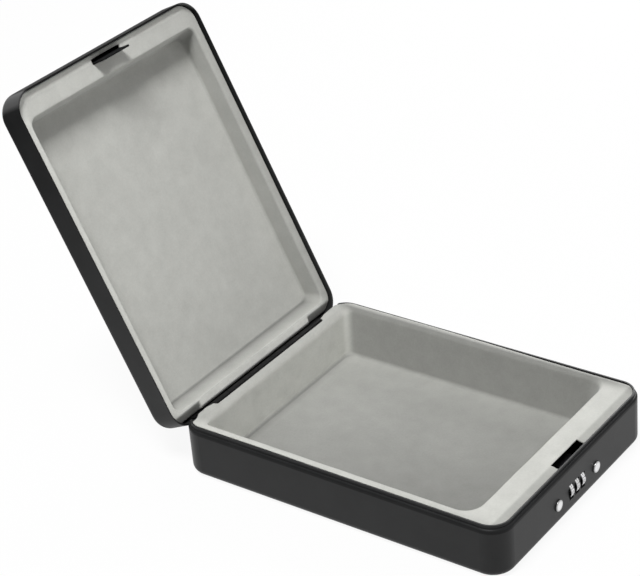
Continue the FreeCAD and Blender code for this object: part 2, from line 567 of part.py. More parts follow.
def button(x):
    """Domed push button with a collar behind the wall, a stem to the plate and a guided tail."""
    face = -HALF_LENGTH - BUTTON_PROUD
    collar = FRONT_INNER_Y + PIN_CLEARANCE
    head = rod_y(x, face, collar + BUTTON_COLLAR, LOCK_HEIGHT, BUTTON_RADIUS)
    rim = [edge for edge in head.Edges if all(abs(v.Y - face) < TOLERANCE for v in edge.Vertexes)]
    head = head.makeFillet(BUTTON_DOME, rim)
    head = head.fuse(rod_y(x, collar, collar + BUTTON_COLLAR, LOCK_HEIGHT, BUTTON_COLLAR_RADIUS))
    head = head.fuse(rod_y(x, collar, PLATE_Y, LOCK_HEIGHT, BUTTON_STEM_RADIUS))
    tail = rod_y(x, collar, COVER_BACK_Y + RUN_CLEARANCE, LOCK_HEIGHT, BUTTON_TAIL_RADIUS)
    return head.fuse(tail).removeSplitter()


def release_plate():
    """Plate that both buttons push: latch tongue above, three fingers over the cams."""
    foot = LOCK_HEIGHT - PLATE_FOOT
    shoulder = FINGER_BAR_Z + FINGER_BAR
    tongue_top = TONGUE_Z + PLATE_SHEET
    plate = box(-PLATE_HALF_WIDTH, PLATE_HALF_WIDTH, PLATE_Y, PLATE_BACK_Y, foot, shoulder)
    riser = TONGUE_HALF_WIDTH + RISER_MARGIN
    plate = plate.fuse(box(-riser, riser, PLATE_Y, PLATE_BACK_Y, foot, tongue_top))
    nose = [(PLATE_BACK_Y, TONGUE_Z), (TONGUE_TIP_Y, TONGUE_Z), (TONGUE_TIP_Y + PLATE_SHEET / 2, tongue_top),
            (PLATE_BACK_Y, tongue_top)]
    plate = plate.fuse(extrude_x(nose, -TONGUE_HALF_WIDTH, TONGUE_HALF_WIDTH))
    for x in DIAL_XS:
        middle = x + CAM_OFFSET + CAM_THICKNESS / 2
        x0 = middle - FINGER_WIDTH / 2
        x1 = middle + FINGER_WIDTH / 2
        plate = plate.fuse(box(x0, x1, FINGER_TIP_Y, PLATE_BACK_Y, FINGER_BAR_Z, shoulder))
        plate = plate.fuse(box(x0, x1, FINGER_TIP_Y, FINGER_TIP_Y + FINGER_SHEET, FINGER_TIP_Z, shoulder))
    for x in BUTTON_XS:
        plate = plate.cut(rod_y(x, PLATE_Y - CUT_MARGIN, PLATE_BACK_Y + CUT_MARGIN, LOCK_HEIGHT,
                                BUTTON_TAIL_RADIUS + PIN_CLEARANCE))
    return plate.removeSplitter()


def arc_to(start, apex, end):
    """Arc from start to end whose end tangents meet at apex."""
    weight = (end - start).Length / (2 * (apex - start).Length)
    middle = (start + apex * (2 * weight) + end) * (1 / (2 + 2 * weight))
    return Part.Arc(start, middle, end).toShape()


def biarc(start, leave, end, arrive):
    """Two arcs that leave start along one direction and arrive at end along another."""
    span = end - start
    a = 2 * (1 - leave.dot(arrive))
    b = 2 * span.dot(leave + arrive)
    reach = (math.sqrt(b * b + 4 * a * span.dot(span)) - b) / (2 * a)
    first = start + leave * reach
    second = end - arrive * reach
    joint = (first + second) * 0.5
    return [arc_to(start, first, joint), arc_to(joint, second, end)]


def least_gap(wire, turns, width):
    """Least room between neighbouring turns of a coiled wire, measured on points along it."""
    points = wire.discretize(Number=turns * GAP_SAMPLES)
    half_turn = GAP_SAMPLES // 2
    return min((points[i] - points[j]).Length for i in range(len(points))
               for j in range(i + half_turn, len(points))) - width


def return_spring(x):
    """Compression coil round a button's tail, one unbroken wire on quarter-turn biarcs."""
    y0 = PLATE_BACK_Y + SPRING_WIRE + PIN_CLEARANCE
    pitch = (COVER_Y - SPRING_WIRE - PIN_CLEARANCE - y0) / SPRING_TURNS
    places = []
    ways = []
    for quarter in range(4 * SPRING_TURNS + 1):
        turn = quarter * math.pi / 2
        places.append(FreeCAD.Vector(x + SPRING_RADIUS * math.cos(turn), y0 + pitch * quarter / 4,
                                     LOCK_HEIGHT + SPRING_RADIUS * math.sin(turn)))
        ways.append(FreeCAD.Vector(-SPRING_RADIUS * math.sin(turn), pitch / (2 * math.pi),
                                   SPRING_RADIUS * math.cos(turn)).normalize())
    edges = []
    for index in range(4 * SPRING_TURNS):
        edges += biarc(places[index], ways[index], places[index + 1], ways[index + 1])
    wire = Part.Wire(edges)
    print("return spring gap between turns:", round(least_gap(wire, SPRING_TURNS, 2 * SPRING_WIRE), 2))
    section = Part.Wire(Part.makeCircle(SPRING_WIRE, places[0], ways[0]))
    return wire.makePipeShell([section], True, False)


def main():
    os.makedirs("parts", exist_ok=True)
    save("base_shell", base_shell())
    save("base_liner", base_liner())
    save("lid_shell", to_open_pose(lid_shell()))
    save("lid_liner", to_open_pose(lid_liner()))
    save("lid_hook", to_open_pose(lid_hook()))
    save("hinge_leaf_base", hinge_leaf(0, False))
    save("hinge_leaf_lid", to_open_pose(hinge_leaf(1, True)))
    save("hinge_pin", hinge_pin())
    save("lock_frame", lock_frame())
    save("lock_cover", lock_cover())
    save("lock_studs", lock_studs())
    save("lock_nuts", lock_nuts())
    save("dial_spindle", dial_spindle())
    save("spindle_clips", spindle_clips())
    save("detent_spring", detent_spring())
    for number, x in enumerate(DIAL_XS, start=1):
        save("dial_wheel_%d" % number, dial_wheel(x))
        save("dial_cam_%d" % number, dial_cam(x))
    save("release_plate", release_plate())
    for side, x in zip(("left", "right"), BUTTON_XS):
        save("button_" + side, button(x))
        save("return_spring_" + side, return_spring(x))


main()
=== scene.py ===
import math

import bmesh
import bpy
import numpy as np
from mathutils import Matrix, Vector


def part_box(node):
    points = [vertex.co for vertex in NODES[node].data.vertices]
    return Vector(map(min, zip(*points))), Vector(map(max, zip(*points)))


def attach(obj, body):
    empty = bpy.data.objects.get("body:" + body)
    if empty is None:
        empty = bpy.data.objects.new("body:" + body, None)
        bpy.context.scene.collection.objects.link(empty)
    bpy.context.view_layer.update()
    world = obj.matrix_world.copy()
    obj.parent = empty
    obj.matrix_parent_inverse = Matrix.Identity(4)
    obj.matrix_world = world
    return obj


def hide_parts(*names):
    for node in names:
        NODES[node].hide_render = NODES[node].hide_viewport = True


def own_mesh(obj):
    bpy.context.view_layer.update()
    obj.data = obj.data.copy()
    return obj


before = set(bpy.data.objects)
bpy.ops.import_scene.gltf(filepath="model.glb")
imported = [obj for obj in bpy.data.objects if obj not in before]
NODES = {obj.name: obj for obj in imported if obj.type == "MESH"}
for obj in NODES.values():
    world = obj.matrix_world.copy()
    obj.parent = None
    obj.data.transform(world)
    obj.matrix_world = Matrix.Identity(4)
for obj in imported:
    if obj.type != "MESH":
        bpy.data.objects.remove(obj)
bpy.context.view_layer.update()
MM = 0.001

# Sizes that the new pieces share with the box's solids: lengths in millimetres, the angle in radians
HALF_WIDTH = 90.0
HALF_LENGTH = 120.0
HINGE_INSET = 2.0
HINGE_Y = HALF_LENGTH - HINGE_INSET
HINGE_Z = 31.8
STOP_RISE = 3.18
OPEN_ANGLE = 2 * math.atan(STOP_RISE / HINGE_INSET)
BASE_LINER_Z = 37.2
LID_LINER_Z = 37.7
LINER_WALL = 1.6
LUG_X = 60.0
LUG_BACK_Y = 116.2
BARREL_BACK_Y = 111.6
DIAL_XS = (-7.1, 0.0, 7.1)
DIAL_Y = -114.2
DIAL_Z = 15.0
DIAL_RADIUS = 7.0
DIAL_DIGITS = 10
BUTTON_X = 23.4

# Liners, in millimetres: insets from the shell's sides, corner radii at the front and the back, side runs of
# (mouth inset, lean, mouth rounding), and a slot of (half width, front, back)
BASE_LINER = {
    "edge": 2.9, "edge_radius": 12.1, "depth": 34.4, "floor_round": 2.4, "radii": (12.0, 6.0),
    "side": (9.0, 4.0, 3.0), "front": (23.6, 6.0, 1.4), "back": (13.4, 1.6, 4.4),
    "slot": (16.0, -118.0, -111.3),
    "lip_rows": (0.0, 0.3, 0.6, 0.9, 1.6, 2.6, 3.6, 4.6, 5.3, 5.55, 5.8, 6.05, 6.3, 7.2, 8.6, 10.4, 12.4,
                 14.4, 16.4, 18.2),
}
LID_LINER = {
    "edge": 1.5, "edge_radius": 13.5, "depth": 14.28, "floor_round": 1.8, "radii": (6.0, 6.0),
    "side": (8.2, 0.6, 1.4), "front": (18.2, 4.0, 1.4), "back": (10.5, 4.0, 1.4),
    "slot": (13.8, -115.8, -111.9),
    "lip_rows": (0.0, 0.3, 0.6, 0.9, 1.6, 2.2, 2.45, 2.7, 2.95, 3.2, 4.2, 5.4, 6.1, 6.35, 6.6, 6.85, 7.1,
                 8.2, 9.6, 11.2, 12.8, 14.2),
}

# Grid of the liners: counts of steps, and places and gaps of its columns in millimetres
CORNER_STEPS = 12
SIDE_STEPS = 60
ARC_STEPS = 8
WALL_STEPS = 12
FLOOR_STEPS = 16
COLUMN_STEP = 2.0
COLUMN_REACH = 67.0
COLUMN_GAP = 0.3
COLUMN_ROOM = 1.0
SLOT_STEPS = (-0.5, -0.25, 0.0, 0.25, 0.5)
LUG_STEPS = (-2.0, -1.3, -0.8, -0.4, 0.0, 0.4, 0.8, 1.3, 2.0)

# Edges and lips of the liners, in millimetres; the front slope and the lip's share of the wave are ratios
LUG_PASSAGE = 1.6
LUG_STEP = 3.0
LUG_SWELL = 9.0
LUG_CHAMFER = 3.2
LUG_CHAMFER_X = (72.0, 81.0)
EDGE_ROLL = 0.9
EDGE_DROP = 0.4
SLOT_ROLL = 0.5
SLOT_DROP = 0.25
SLOT_DEPTH = 1.0
FRONT_SLOPE = 0.2
FRONT_SLOPE_Y = -111.0
FRONT_SLOPE_SOFT = 1.0
LID_BACK_Y = 117.0
LID_FLAP_Y = 111.2
LID_FLAP_DROP = 2.8
LID_FLAP_PASSAGE = 1.2
LID_REAR_ROLL = 2.6
LID_REAR_DROP = 1.5
SIDE_TUCK = (-0.55, 1.85)
SIDE_TUCK_Y = (60.0, -90.0)
SIDE_TUCK_X = (83.4, 87.1)
LINER_WAVE = 0.18
LIP_WAVE = 0.25

# Painted shade and tone on the flock, a mark that darkens its colour: 1 takes the full share, below 0 the
# colour is painted lighter. Mostly it is painted shade and painted light: shade on the side and front walls,
# in the creases and on the base's rear lip, light on the base's hinge wall and on the lid's rear lip; on the
# floors it is a darker tone. Each side of a liner has its lip, the top and the foot of its wall, the crease
# between wall and floor, and the power of its turn at the mouth. Spans of X and Y, in millimetres, are where
# a local mark begins and where it is full.
BASE_SHADE_AND_TONE = {"side": (0.25, 1.35, 1.35, 0.1, 1.0), "front": (0.08, 1.0, 1.0, 0.1, 1.0),
             "back": (0.95, -1.85, -1.75, 1.9, 2.4), "floor": 1.56}
LID_SHADE_AND_TONE = {"side": (-0.1, 0.95, 0.95, 0.2, 1.0), "front": (0.0, 0.65, 0.65, 0.2, 1.0),
            "back": (-1.15, 0.75, 1.75, 1.0, 0.35), "floor": 0.18}
# Painted shade on the base floor, darker towards the front and the left: shares across X and along Y
FLOOR_SHADE_DRIFT = (-0.5, -0.22)
# Darker tone on the sloping outer band of the base's front lip, and the span of Y where it begins and is full
SLOPE_DARKENING = 0.8
SLOPE_DARKENING_Y = (FRONT_SLOPE_Y + 0.5, FRONT_SLOPE_Y - 1.5)
# Painted shade on the base's lip along the far side (+X), and the span of X where it begins and is full
FAR_LIP_SHADE = 1.65
FAR_LIP_X = (87.5, 82.5)
# Painted light on the lid's left side lip and painted shade on its right side lip, by the sign of X
LID_LIP_SIDE_SHADE = 0.55
# Painted shade on the lid's flaps at the hinge corners
LID_FLAP_SHADE = 1.9
# Painted shade in the lid's front corner on the +X side, with the spans of X and Y where it begins and is
# full
LID_CORNER_SHADE = 0.7
LID_CORNER_X = (58.0, 80.0)
LID_CORNER_Y = (-86.0, -100.0)
# Painted shadow of the lid's front lip on the lid floor, and the span of Y where it begins and is full
LID_TOP_SHADOW = 0.25
LID_TOP_Y = (-76.0, -92.0)
# Painted light on the outer edge of the lid's front lip, where the rim casts its shadow, and its span of Y
LID_EDGE_LIGHT = -1.2
LID_EDGE_Y = (-112.4, -114.8)
# Painted shade on the lid's front lip, darker towards the +X end, and the span of X where it grows
LID_DRIFT_SHADE = 0.3
LID_DRIFT_X = (0.0, 60.0)
# Painted shade along the crease between wall and floor: its reach up the wall in millimetres, and its shares
# on the floor's rounding
CREASE_REACH = 7.0
CREASE_FOOT = 0.17
CREASE_PEAK = 2.4
# Share of the flock's colour that the painted shade and tone takes away where its mark is 1
SHADE_DARKENS = 0.33

# Points of a mesh that lie this near to each other are joined, in metres; a shorter normal counts as none
MERGE_REACH = 1e-7
FLAT_LIMIT = 1e-4

# Dial numbers: lengths in millimetres, and counts of points
DIGIT_WIDTH = 1.3
DIGIT_HEIGHT = 2.1
DIGIT_STROKE = 0.38
DIGIT_PROUD = 0.03
GLYPH_STEPS = 25
STROKE_POINTS = 30
TAPER_POINTS = 2
BEAD_SIDES = 8

# Return springs: lengths in millimetres, and counts of turns, steps and sides
SPRING_WIRE = 0.3
SPRING_TURNS = 3
SPRING_STEPS = 97
SPRING_SIDES = 10

# Tones of the finishes, two for each: dark and light, or on metal dull and clean
COAT_TONES = ((0.010, 0.0103, 0.0106, 1.0), (0.014, 0.0143, 0.0146, 1.0))
# The hinge's own black, darker than the coat's as painted shade in the hinge gap
HINGE_SHADED_TONES = ((0.005, 0.005, 0.0052, 1.0), (0.008, 0.008, 0.0082, 1.0))
FLOCK_TONES = ((0.49, 0.493, 0.462, 1.0), (0.585, 0.588, 0.553, 1.0))
# Blackened steel of the lock, darker still as painted shade where it shows through the hook's slot
STEEL_AND_SLOT_SHADE_TONES = ((0.03, 0.03, 0.033, 1.0), (0.05, 0.05, 0.053, 1.0))
BRASS_TONES = ((0.55, 0.42, 0.18, 1.0), (0.66, 0.53, 0.27, 1.0))
DIAL_TONES = ((0.62, 0.62, 0.61, 1.0), (0.8, 0.8, 0.81, 1.0))
BUTTON_TONES = ((0.66, 0.66, 0.65, 1.0), (0.83, 0.83, 0.84, 1.0))
DIGIT_TONES = ((0.012, 0.012, 0.013, 1.0), (0.03, 0.03, 0.03, 1.0))

# Relief of the finishes: depth in metres and strength
COAT_RELIEF = (0.00006, 0.35)
FLOCK_RELIEF = (0.00025, 0.4)
SCRATCH_RELIEF = (0.00002, 0.3)

# What smudges take from and give to the coat's roughness, and the span of the pile's tone from dark to light
COAT_SMUDGE = (-0.04, 0.05)
FLOCK_CONTRAST = (0.36, 0.64)

# Lay of a metal's grain: turned about X, Y and Z
ACROSS = (0.0, 0.0, 0.0)
ALONG = (0.0, 0.0, math.pi / 2)

# Weight of the clear coat, by places in metres: on the base the heights of its bare band and the weight
# beside it, the bare band being painted shade on the shoulder; on the lid by the distance from the hinge, a
# fade that paints shade on the far end, and by that from a corner, which is given as an X and a distance from
# the hinge, where the coat paints a highlight on the round of the corner
BASE_SHOULDER_SHADE = (0.0319, 0.0348, 0.32)
SHOULDER_SOFT = 0.0003
LID_CLEAR_SHADE = ((0.01, 0.65), (0.23, 0.05))
LID_CORNER_HIGHLIGHT = ((0.0835, 0.236, 0.0), (0.0045, 1.0), (0.0085, 0.0))

# Painted shade in the dials' flutes, round the buttons' rims and towards the dials' sides, by the distance in
# metres
DIAL_SHADE = ((0.0, -DIAL_Y * MM, DIAL_Z * MM), (0.0, 1.0, 1.0), (0.0066, 0.12), (0.00695, 1.0))
BUTTON_SHADE = ((BUTTON_X * MM, 0.0, DIAL_Z * MM), (1.0, 0.0, 1.0), (0.0024, 1.0), (0.0039, 0.35))
DIAL_SIDE_SHADE = (DIAL_XS[2] * MM, (0.0011, 1.0), (0.0019, 0.1))

# Camera that the view was measured with: angles in degrees, lengths in metres
VIEW_AZIMUTH = -52.18
VIEW_ELEVATION = 29.73
VIEW_ROLL = -5.1
VIEW_TARGET = Vector((0.06301, 0.11452, 0.06))
VIEW_DISTANCE = 1.43888
VIEW_FOCAL_PX = 2103.79
IMAGE_WIDTH_PX = 640
SENSOR_MM = 36.0
VIEW_CLIP = (0.05, 50.0)

# Soft studio lamps: place in metres, side in metres, watts
LAMPS = {
    "overhead_key": ((-1.06, 0.0, 2.92), 0.9, 97.0),
    "overhead_soft": ((0.0, 0.1, 1.9), 2.2, 1.5),
    "front_fill": ((0.25, -1.8, 0.8), 1.4, 6.4),
    "right_fill": ((1.7, 0.4, 0.8), 1.2, 18.0),
}
LAMP_TARGET = Vector((0.0, 0.06, 0.08))

# Surround and floor: the strength of the light, lengths in metres, the floor's share of white, and tones
WORLD_LIGHT = 0.03
FLOOR_REACH = 6.0
FLOOR_DROP = 0.0002
FLOOR_WHITE = 0.92
PAPER_TONE = (0.8, 0.8, 0.8, 1.0)
WHITE = (1.0, 1.0, 1.0, 1.0)


# Shader helpers

def shader_group(name, inputs, outputs):
    """Empty node group whose sockets are (name, kind, starting value) and (name, kind)."""
    group = bpy.data.node_groups.new(name, "ShaderNodeTree")
    for label, kind, start in inputs:
        socket = group.interface.new_socket(name=label, in_out="INPUT", socket_type=kind)
        if start is not None:
            socket.default_value = start
    for label, kind in outputs:
        group.interface.new_socket(name=label, in_out="OUTPUT", socket_type=kind)
    return group, group.nodes.new("NodeGroupInput"), group.nodes.new("NodeGroupOutput")


def add(tree, kind, **values):
    """New node of a kind, with the given settings."""
    node = tree.nodes.new(kind)
    for label, value in values.items():
        setattr(node, label, value)
    return node


def noise(tree, where, scale, detail=2.0, roughness=0.5):
    """Noise texture on the given vector; returns its value output."""
    node = add(tree, "ShaderNodeTexNoise")
    node.inputs["Detail"].default_value = detail
    node.inputs["Roughness"].default_value = roughness
    tree.links.new(where, node.inputs["Vector"])
    if isinstance(scale, (int, float)):
        node.inputs["Scale"].default_value = scale
    else:
        tree.links.new(scale, node.inputs["Scale"])
    return node.outputs["Fac"]


def sums(tree, operation, first, second, third=None):
    """Math node on sockets or plain numbers; returns its output."""
    node = add(tree, "ShaderNodeMath", operation=operation)
    for socket, value in zip(node.inputs, (first, second, third)):
        if value is None:
            continue
        if isinstance(value, (int, float)):
            socket.default_value = value
        else:
            tree.links.new(value, socket)
    return node.outputs[0]


def spread(tree, value, low, high, to_low, to_high):
    """Map Range node from one span of values to another; returns its output."""
    node = add(tree, "ShaderNodeMapRange")
    tree.links.new(value, node.inputs["Value"])
    for label, number in (("From Min", low), ("From Max", high), ("To Min", to_low), ("To Max", to_high)):
        if isinstance(number, (int, float)):
            node.inputs[label].default_value = number
        else:
            tree.links.new(number, node.inputs[label])
    return node.outputs["Result"]


def blended(tree, share, first, second):
    """Colour mix; first and second are colours or sockets."""
    node = add(tree, "ShaderNodeMix", data_type="RGBA")
    tree.links.new(share, node.inputs[0])
    for socket, value in ((node.inputs[6], first), (node.inputs[7], second)):
        if isinstance(value, tuple):
            socket.default_value = value
        else:
            tree.links.new(value, socket)
    return node.outputs[2]


def darkened(tree, colour, share):
    """Colour times a value; returns its output."""
    node = add(tree, "ShaderNodeMix", data_type="RGBA", blend_type="MULTIPLY")
    node.inputs[0].default_value = 1.0
    tree.links.new(colour, node.inputs[6])
    tree.links.new(share, node.inputs[7])
    return node.outputs[2]


# Node groups for the effects that several finishes share

def make_flock_pile():
    """Cropped fibres: a fine speckle, patches where the nap lies another way, and a slow drift of tone."""
    group, inside, outside = shader_group(
        "flock_pile",
        [("Vector", "NodeSocketVector", None), ("Fibre scale", "NodeSocketFloat", 2600.0),
         ("Nap scale", "NodeSocketFloat", 95.0)],
        [("Tone", "NodeSocketFloat"), ("Height", "NodeSocketFloat")])
    where = inside.outputs["Vector"]
    fibre = noise(group, where, inside.outputs["Fibre scale"], 3.0, 0.7)
    tuft = noise(group, where, sums(group, "MULTIPLY", inside.outputs["Fibre scale"], 0.28), 2.0, 0.6)
    nap = noise(group, where, inside.outputs["Nap scale"], 3.0, 0.55)
    drift = noise(group, where, sums(group, "MULTIPLY", inside.outputs["Nap scale"], 0.2), 2.0, 0.5)
    speckle = sums(group, "MULTIPLY_ADD", tuft, 0.28, sums(group, "MULTIPLY", fibre, 0.12))
    patches = sums(group, "MULTIPLY_ADD", drift, 0.2, sums(group, "MULTIPLY", nap, 0.4))
    group.links.new(sums(group, "ADD", speckle, patches), outside.inputs["Tone"])
    group.links.new(sums(group, "MULTIPLY_ADD", tuft, 0.6, fibre), outside.inputs["Height"])
    return group


def make_handling_marks():
    """Faint smudges and fine scratches that handling leaves on a hard finish."""
    group, inside, outside = shader_group(
        "handling_marks",
        [("Vector", "NodeSocketVector", None), ("Smudge scale", "NodeSocketFloat", 45.0),
         ("Scratch scale", "NodeSocketFloat", 900.0)],
        [("Smudge", "NodeSocketFloat"), ("Scratch", "NodeSocketFloat")])
    where = inside.outputs["Vector"]
    smudge = noise(group, where, inside.outputs["Smudge scale"], 4.0, 0.6)
    stretch = add(group, "ShaderNodeVectorMath", operation="MULTIPLY")
    stretch.inputs[1].default_value = (0.06, 1.0, 1.0)
    group.links.new(where, stretch.inputs[0])
    scratch = noise(group, stretch.outputs[0], inside.outputs["Scratch scale"], 2.0, 0.7)
    group.links.new(spread(group, smudge, 0.35, 0.7, 0.0, 1.0), outside.inputs["Smudge"])
    group.links.new(spread(group, scratch, 0.58, 0.72, 0.0, 1.0), outside.inputs["Scratch"])
    return group


def make_coat_texture():
    """Cured powder: low rounded dimples of two sizes."""
    group, inside, outside = shader_group(
        "coat_texture",
        [("Vector", "NodeSocketVector", None), ("Dimple scale", "NodeSocketFloat", 1500.0)],
        [("Height", "NodeSocketFloat")])
    where = inside.outputs["Vector"]
    coarse = noise(group, where, inside.outputs["Dimple scale"], 1.0, 0.4)
    fine = noise(group, where, sums(group, "MULTIPLY", inside.outputs["Dimple scale"], 2.7), 1.0, 0.4)
    group.links.new(sums(group, "MULTIPLY_ADD", fine, 0.4, coarse), outside.inputs["Height"])
    return group


def make_axis_distance():
    """Distance from a line: the place, mirrored into the positive quarter, less a point on the line,
    flattened along the line and measured."""
    group, inside, outside = shader_group(
        "axis_distance",
        [("Vector", "NodeSocketVector", None), ("Point", "NodeSocketVector", (0.0, 0.0, 0.0)),
         ("Flatten", "NodeSocketVector", (1.0, 1.0, 1.0))],
        [("Distance", "NodeSocketFloat")])
    mirror = add(group, "ShaderNodeVectorMath", operation="ABSOLUTE")
    away = add(group, "ShaderNodeVectorMath", operation="SUBTRACT")
    flat = add(group, "ShaderNodeVectorMath", operation="MULTIPLY")
    length = add(group, "ShaderNodeVectorMath", operation="LENGTH")
    group.links.new(inside.outputs["Vector"], mirror.inputs[0])
    group.links.new(mirror.outputs["Vector"], away.inputs[0])
    group.links.new(inside.outputs["Point"], away.inputs[1])
    group.links.new(away.outputs["Vector"], flat.inputs[0])
    group.links.new(inside.outputs["Flatten"], flat.inputs[1])
    group.links.new(flat.outputs["Vector"], length.inputs[0])
    group.links.new(length.outputs["Value"], outside.inputs["Distance"])
    return group


FLOCK_PILE = make_flock_pile()
AXIS_DISTANCE = make_axis_distance()
HANDLING_MARKS = make_handling_marks()
COAT_TEXTURE = make_coat_texture()


# Finishes

def finish_start(name):
    """New material; returns it with its tree, its Principled shader and the Object coordinates."""
    material = bpy.data.materials.new(name)
    material.use_nodes = True
    tree = material.node_tree
    shader = tree.nodes["Principled BSDF"]
    place = add(tree, "ShaderNodeTexCoord").outputs["Object"]
    return material, tree, shader, place


def placed(tree, group, where, **values):
    """Group node fed with a place; the values go to its named inputs, with spaces for underscores."""
    node = add(tree, "ShaderNodeGroup", node_tree=group)
    tree.links.new(where, node.inputs["Vector"])
    for label, value in values.items():
        node.inputs[label.replace("_", " ")].default_value = value
    return node.outputs


def split_place(tree, place):
    """X, Y and Z of a place as sockets."""
    node = add(tree, "ShaderNodeSeparateXYZ")
    tree.links.new(place, node.inputs[0])
    return node.outputs


def bumped(tree, shader, height, relief):
    """Bump on the shader's normal; relief is its depth and its strength."""
    node = add(tree, "ShaderNodeBump")
    node.inputs["Distance"].default_value, node.inputs["Strength"].default_value = relief
    tree.links.new(height, node.inputs["Height"])
    tree.links.new(node.outputs["Normal"], shader.inputs["Normal"])


def shoulder_shade_clear(tree, place):
    """Weight of the clear coat on the base, left off the level band of its shoulder as painted shade."""
    low, high, weight = BASE_SHOULDER_SHADE
    height = split_place(tree, place)["Z"]
    under = spread(tree, height, low - SHOULDER_SOFT, low + SHOULDER_SOFT, weight, 0.0)
    above = spread(tree, height, high - SHOULDER_SOFT, high + SHOULDER_SOFT, 0.0, weight)
    return sums(tree, "ADD", under, above)


def lid_shade_and_highlight_clear(tree, place):
    """Weight of the clear coat on the lid: it fades from the hinge to the far end as painted shade, and is
    thick again on the round of the two far corners as a painted highlight."""
    (near, near_weight), (far, far_weight) = LID_CLEAR_SHADE
    hinge = (0.0, HINGE_Y * MM, HINGE_Z * MM)
    away = placed(tree, AXIS_DISTANCE, place, Point=hinge, Flatten=(0.0, 1.0, 1.0))["Distance"]
    shade_fade = spread(tree, away, near, far, near_weight, far_weight)
    plan = add(tree, "ShaderNodeCombineXYZ")
    tree.links.new(split_place(tree, place)["X"], plan.inputs["X"])
    tree.links.new(away, plan.inputs["Y"])
    point, (near, near_weight), (far, far_weight) = LID_CORNER_HIGHLIGHT
    beside = placed(tree, AXIS_DISTANCE, plan.outputs[0], Point=point, Flatten=(1.0, 1.0, 0.0))["Distance"]
    corner = spread(tree, beside, near, far, near_weight, far_weight)
    return sums(tree, "MAXIMUM", shade_fade, corner)


def powder_coat(name, dark, light, roughness, gloss, clear=None):
    """Satin black powder coat: fine dimples and smudged gloss, and a clear coat where a weight is given."""
    material, tree, shader, place = finish_start(name)
    marks = placed(tree, HANDLING_MARKS, place)
    dimples = placed(tree, COAT_TEXTURE, place)
    tree.links.new(blended(tree, marks["Smudge"], dark, light), shader.inputs["Base Color"])
    low, high = (roughness + change for change in COAT_SMUDGE)
    tree.links.new(spread(tree, marks["Smudge"], 0.0, 1.0, low, high), shader.inputs["Roughness"])
    shader.inputs["Specular IOR Level"].default_value = gloss
    if clear:
        tree.links.new(clear(tree, place), shader.inputs["Coat Weight"])
        shader.inputs["Coat Roughness"].default_value = roughness
    bumped(tree, shader, dimples["Height"], COAT_RELIEF)
    return material


def flock(name, dark, light):
    """Pale grey flock: cropped fibres, speckled and mottled by the way the nap lies. A point attribute of the
    piece carries painted shade, painted light and a darker floor tone, which scale the colour."""
    material, tree, shader, place = finish_start(name)
    pile = placed(tree, FLOCK_PILE, place)
    share = spread(tree, pile["Tone"], *FLOCK_CONTRAST, 0.0, 1.0)
    painted_shade_and_tone = add(tree, "ShaderNodeAttribute", attribute_name="painted_shade_and_tone").outputs["Fac"]
    shade_factor = sums(tree, "MULTIPLY_ADD", painted_shade_and_tone, -SHADE_DARKENS, 1.0)
    tree.links.new(darkened(tree, blended(tree, share, dark, light), shade_factor), shader.inputs["Base Color"])
    shader.inputs["Roughness"].default_value = 0.95
    shader.inputs["Specular IOR Level"].default_value = 0.15
    shader.inputs["Sheen Weight"].default_value = 0.25
    shader.inputs["Sheen Roughness"].default_value = 0.6
    bumped(tree, shader, pile["Height"], FLOCK_RELIEF)
    return material


def plated_metal(name, dull, clean, smooth, rough, lay, shade=None, side_shade=None):
    """Plated metal: smudges change its tone and gloss, fine scratches run with the lay of its grain. With a
    shade of (point, flatten, (distance, tone), (distance, tone)) painted shade darkens its tone by the
    distance from a line, and with a side shade of (pitch, (distance, tone), (distance, tone)) painted shade
    darkens it by the distance from the middle of each wheel in a row."""
    material, tree, shader, place = finish_start(name)
    turn = add(tree, "ShaderNodeMapping")
    turn.inputs["Rotation"].default_value = lay
    tree.links.new(place, turn.inputs["Vector"])
    marks = placed(tree, HANDLING_MARKS, turn.outputs[0], Smudge_scale=220.0, Scratch_scale=2600.0)
    tone = blended(tree, marks["Smudge"], clean, dull)
    if shade:
        point, flatten, (near, near_tone), (far, far_tone) = shade
        away = placed(tree, AXIS_DISTANCE, place, Point=point, Flatten=flatten)["Distance"]
        tone = darkened(tree, tone, spread(tree, away, near, far, near_tone, far_tone))
    if side_shade:
        pitch, (near, near_tone), (far, far_tone) = side_shade
        away = sums(tree, "PINGPONG", split_place(tree, place)["X"], pitch / 2)
        tone = darkened(tree, tone, spread(tree, away, near, far, near_tone, far_tone))
    tree.links.new(tone, shader.inputs["Base Color"])
    shader.inputs["Metallic"].default_value = 1.0
    gloss = sums(tree, "MULTIPLY_ADD", marks["Scratch"], 0.5, sums(tree, "MULTIPLY", marks["Smudge"], 0.5))
    tree.links.new(spread(tree, gloss, 0.0, 1.0, smooth, rough), shader.inputs["Roughness"])
    bumped(tree, shader, marks["Scratch"], SCRATCH_RELIEF)
    return material


def digit_paint(name):
    """Black fill of the dial numbers, a little worn."""
    material, tree, shader, place = finish_start(name)
    marks = placed(tree, HANDLING_MARKS, place, Smudge_scale=2500.0)
    tree.links.new(blended(tree, marks["Smudge"], *DIGIT_TONES), shader.inputs["Base Color"])
    shader.inputs["Roughness"].default_value = 0.55
    return material


BASE_COAT = powder_coat("base_powder_coat", *COAT_TONES, roughness=0.4, gloss=0.08, clear=shoulder_shade_clear)
# The lid's copy of the coat has almost no gloss: painted shade that darkens the lid's walls
LID_SHADED_COAT = powder_coat("lid_powder_coat_shaded", *COAT_TONES, roughness=0.45, gloss=0.004, clear=lid_shade_and_highlight_clear)
GREY_FLOCK = flock("grey_flock", *FLOCK_TONES)
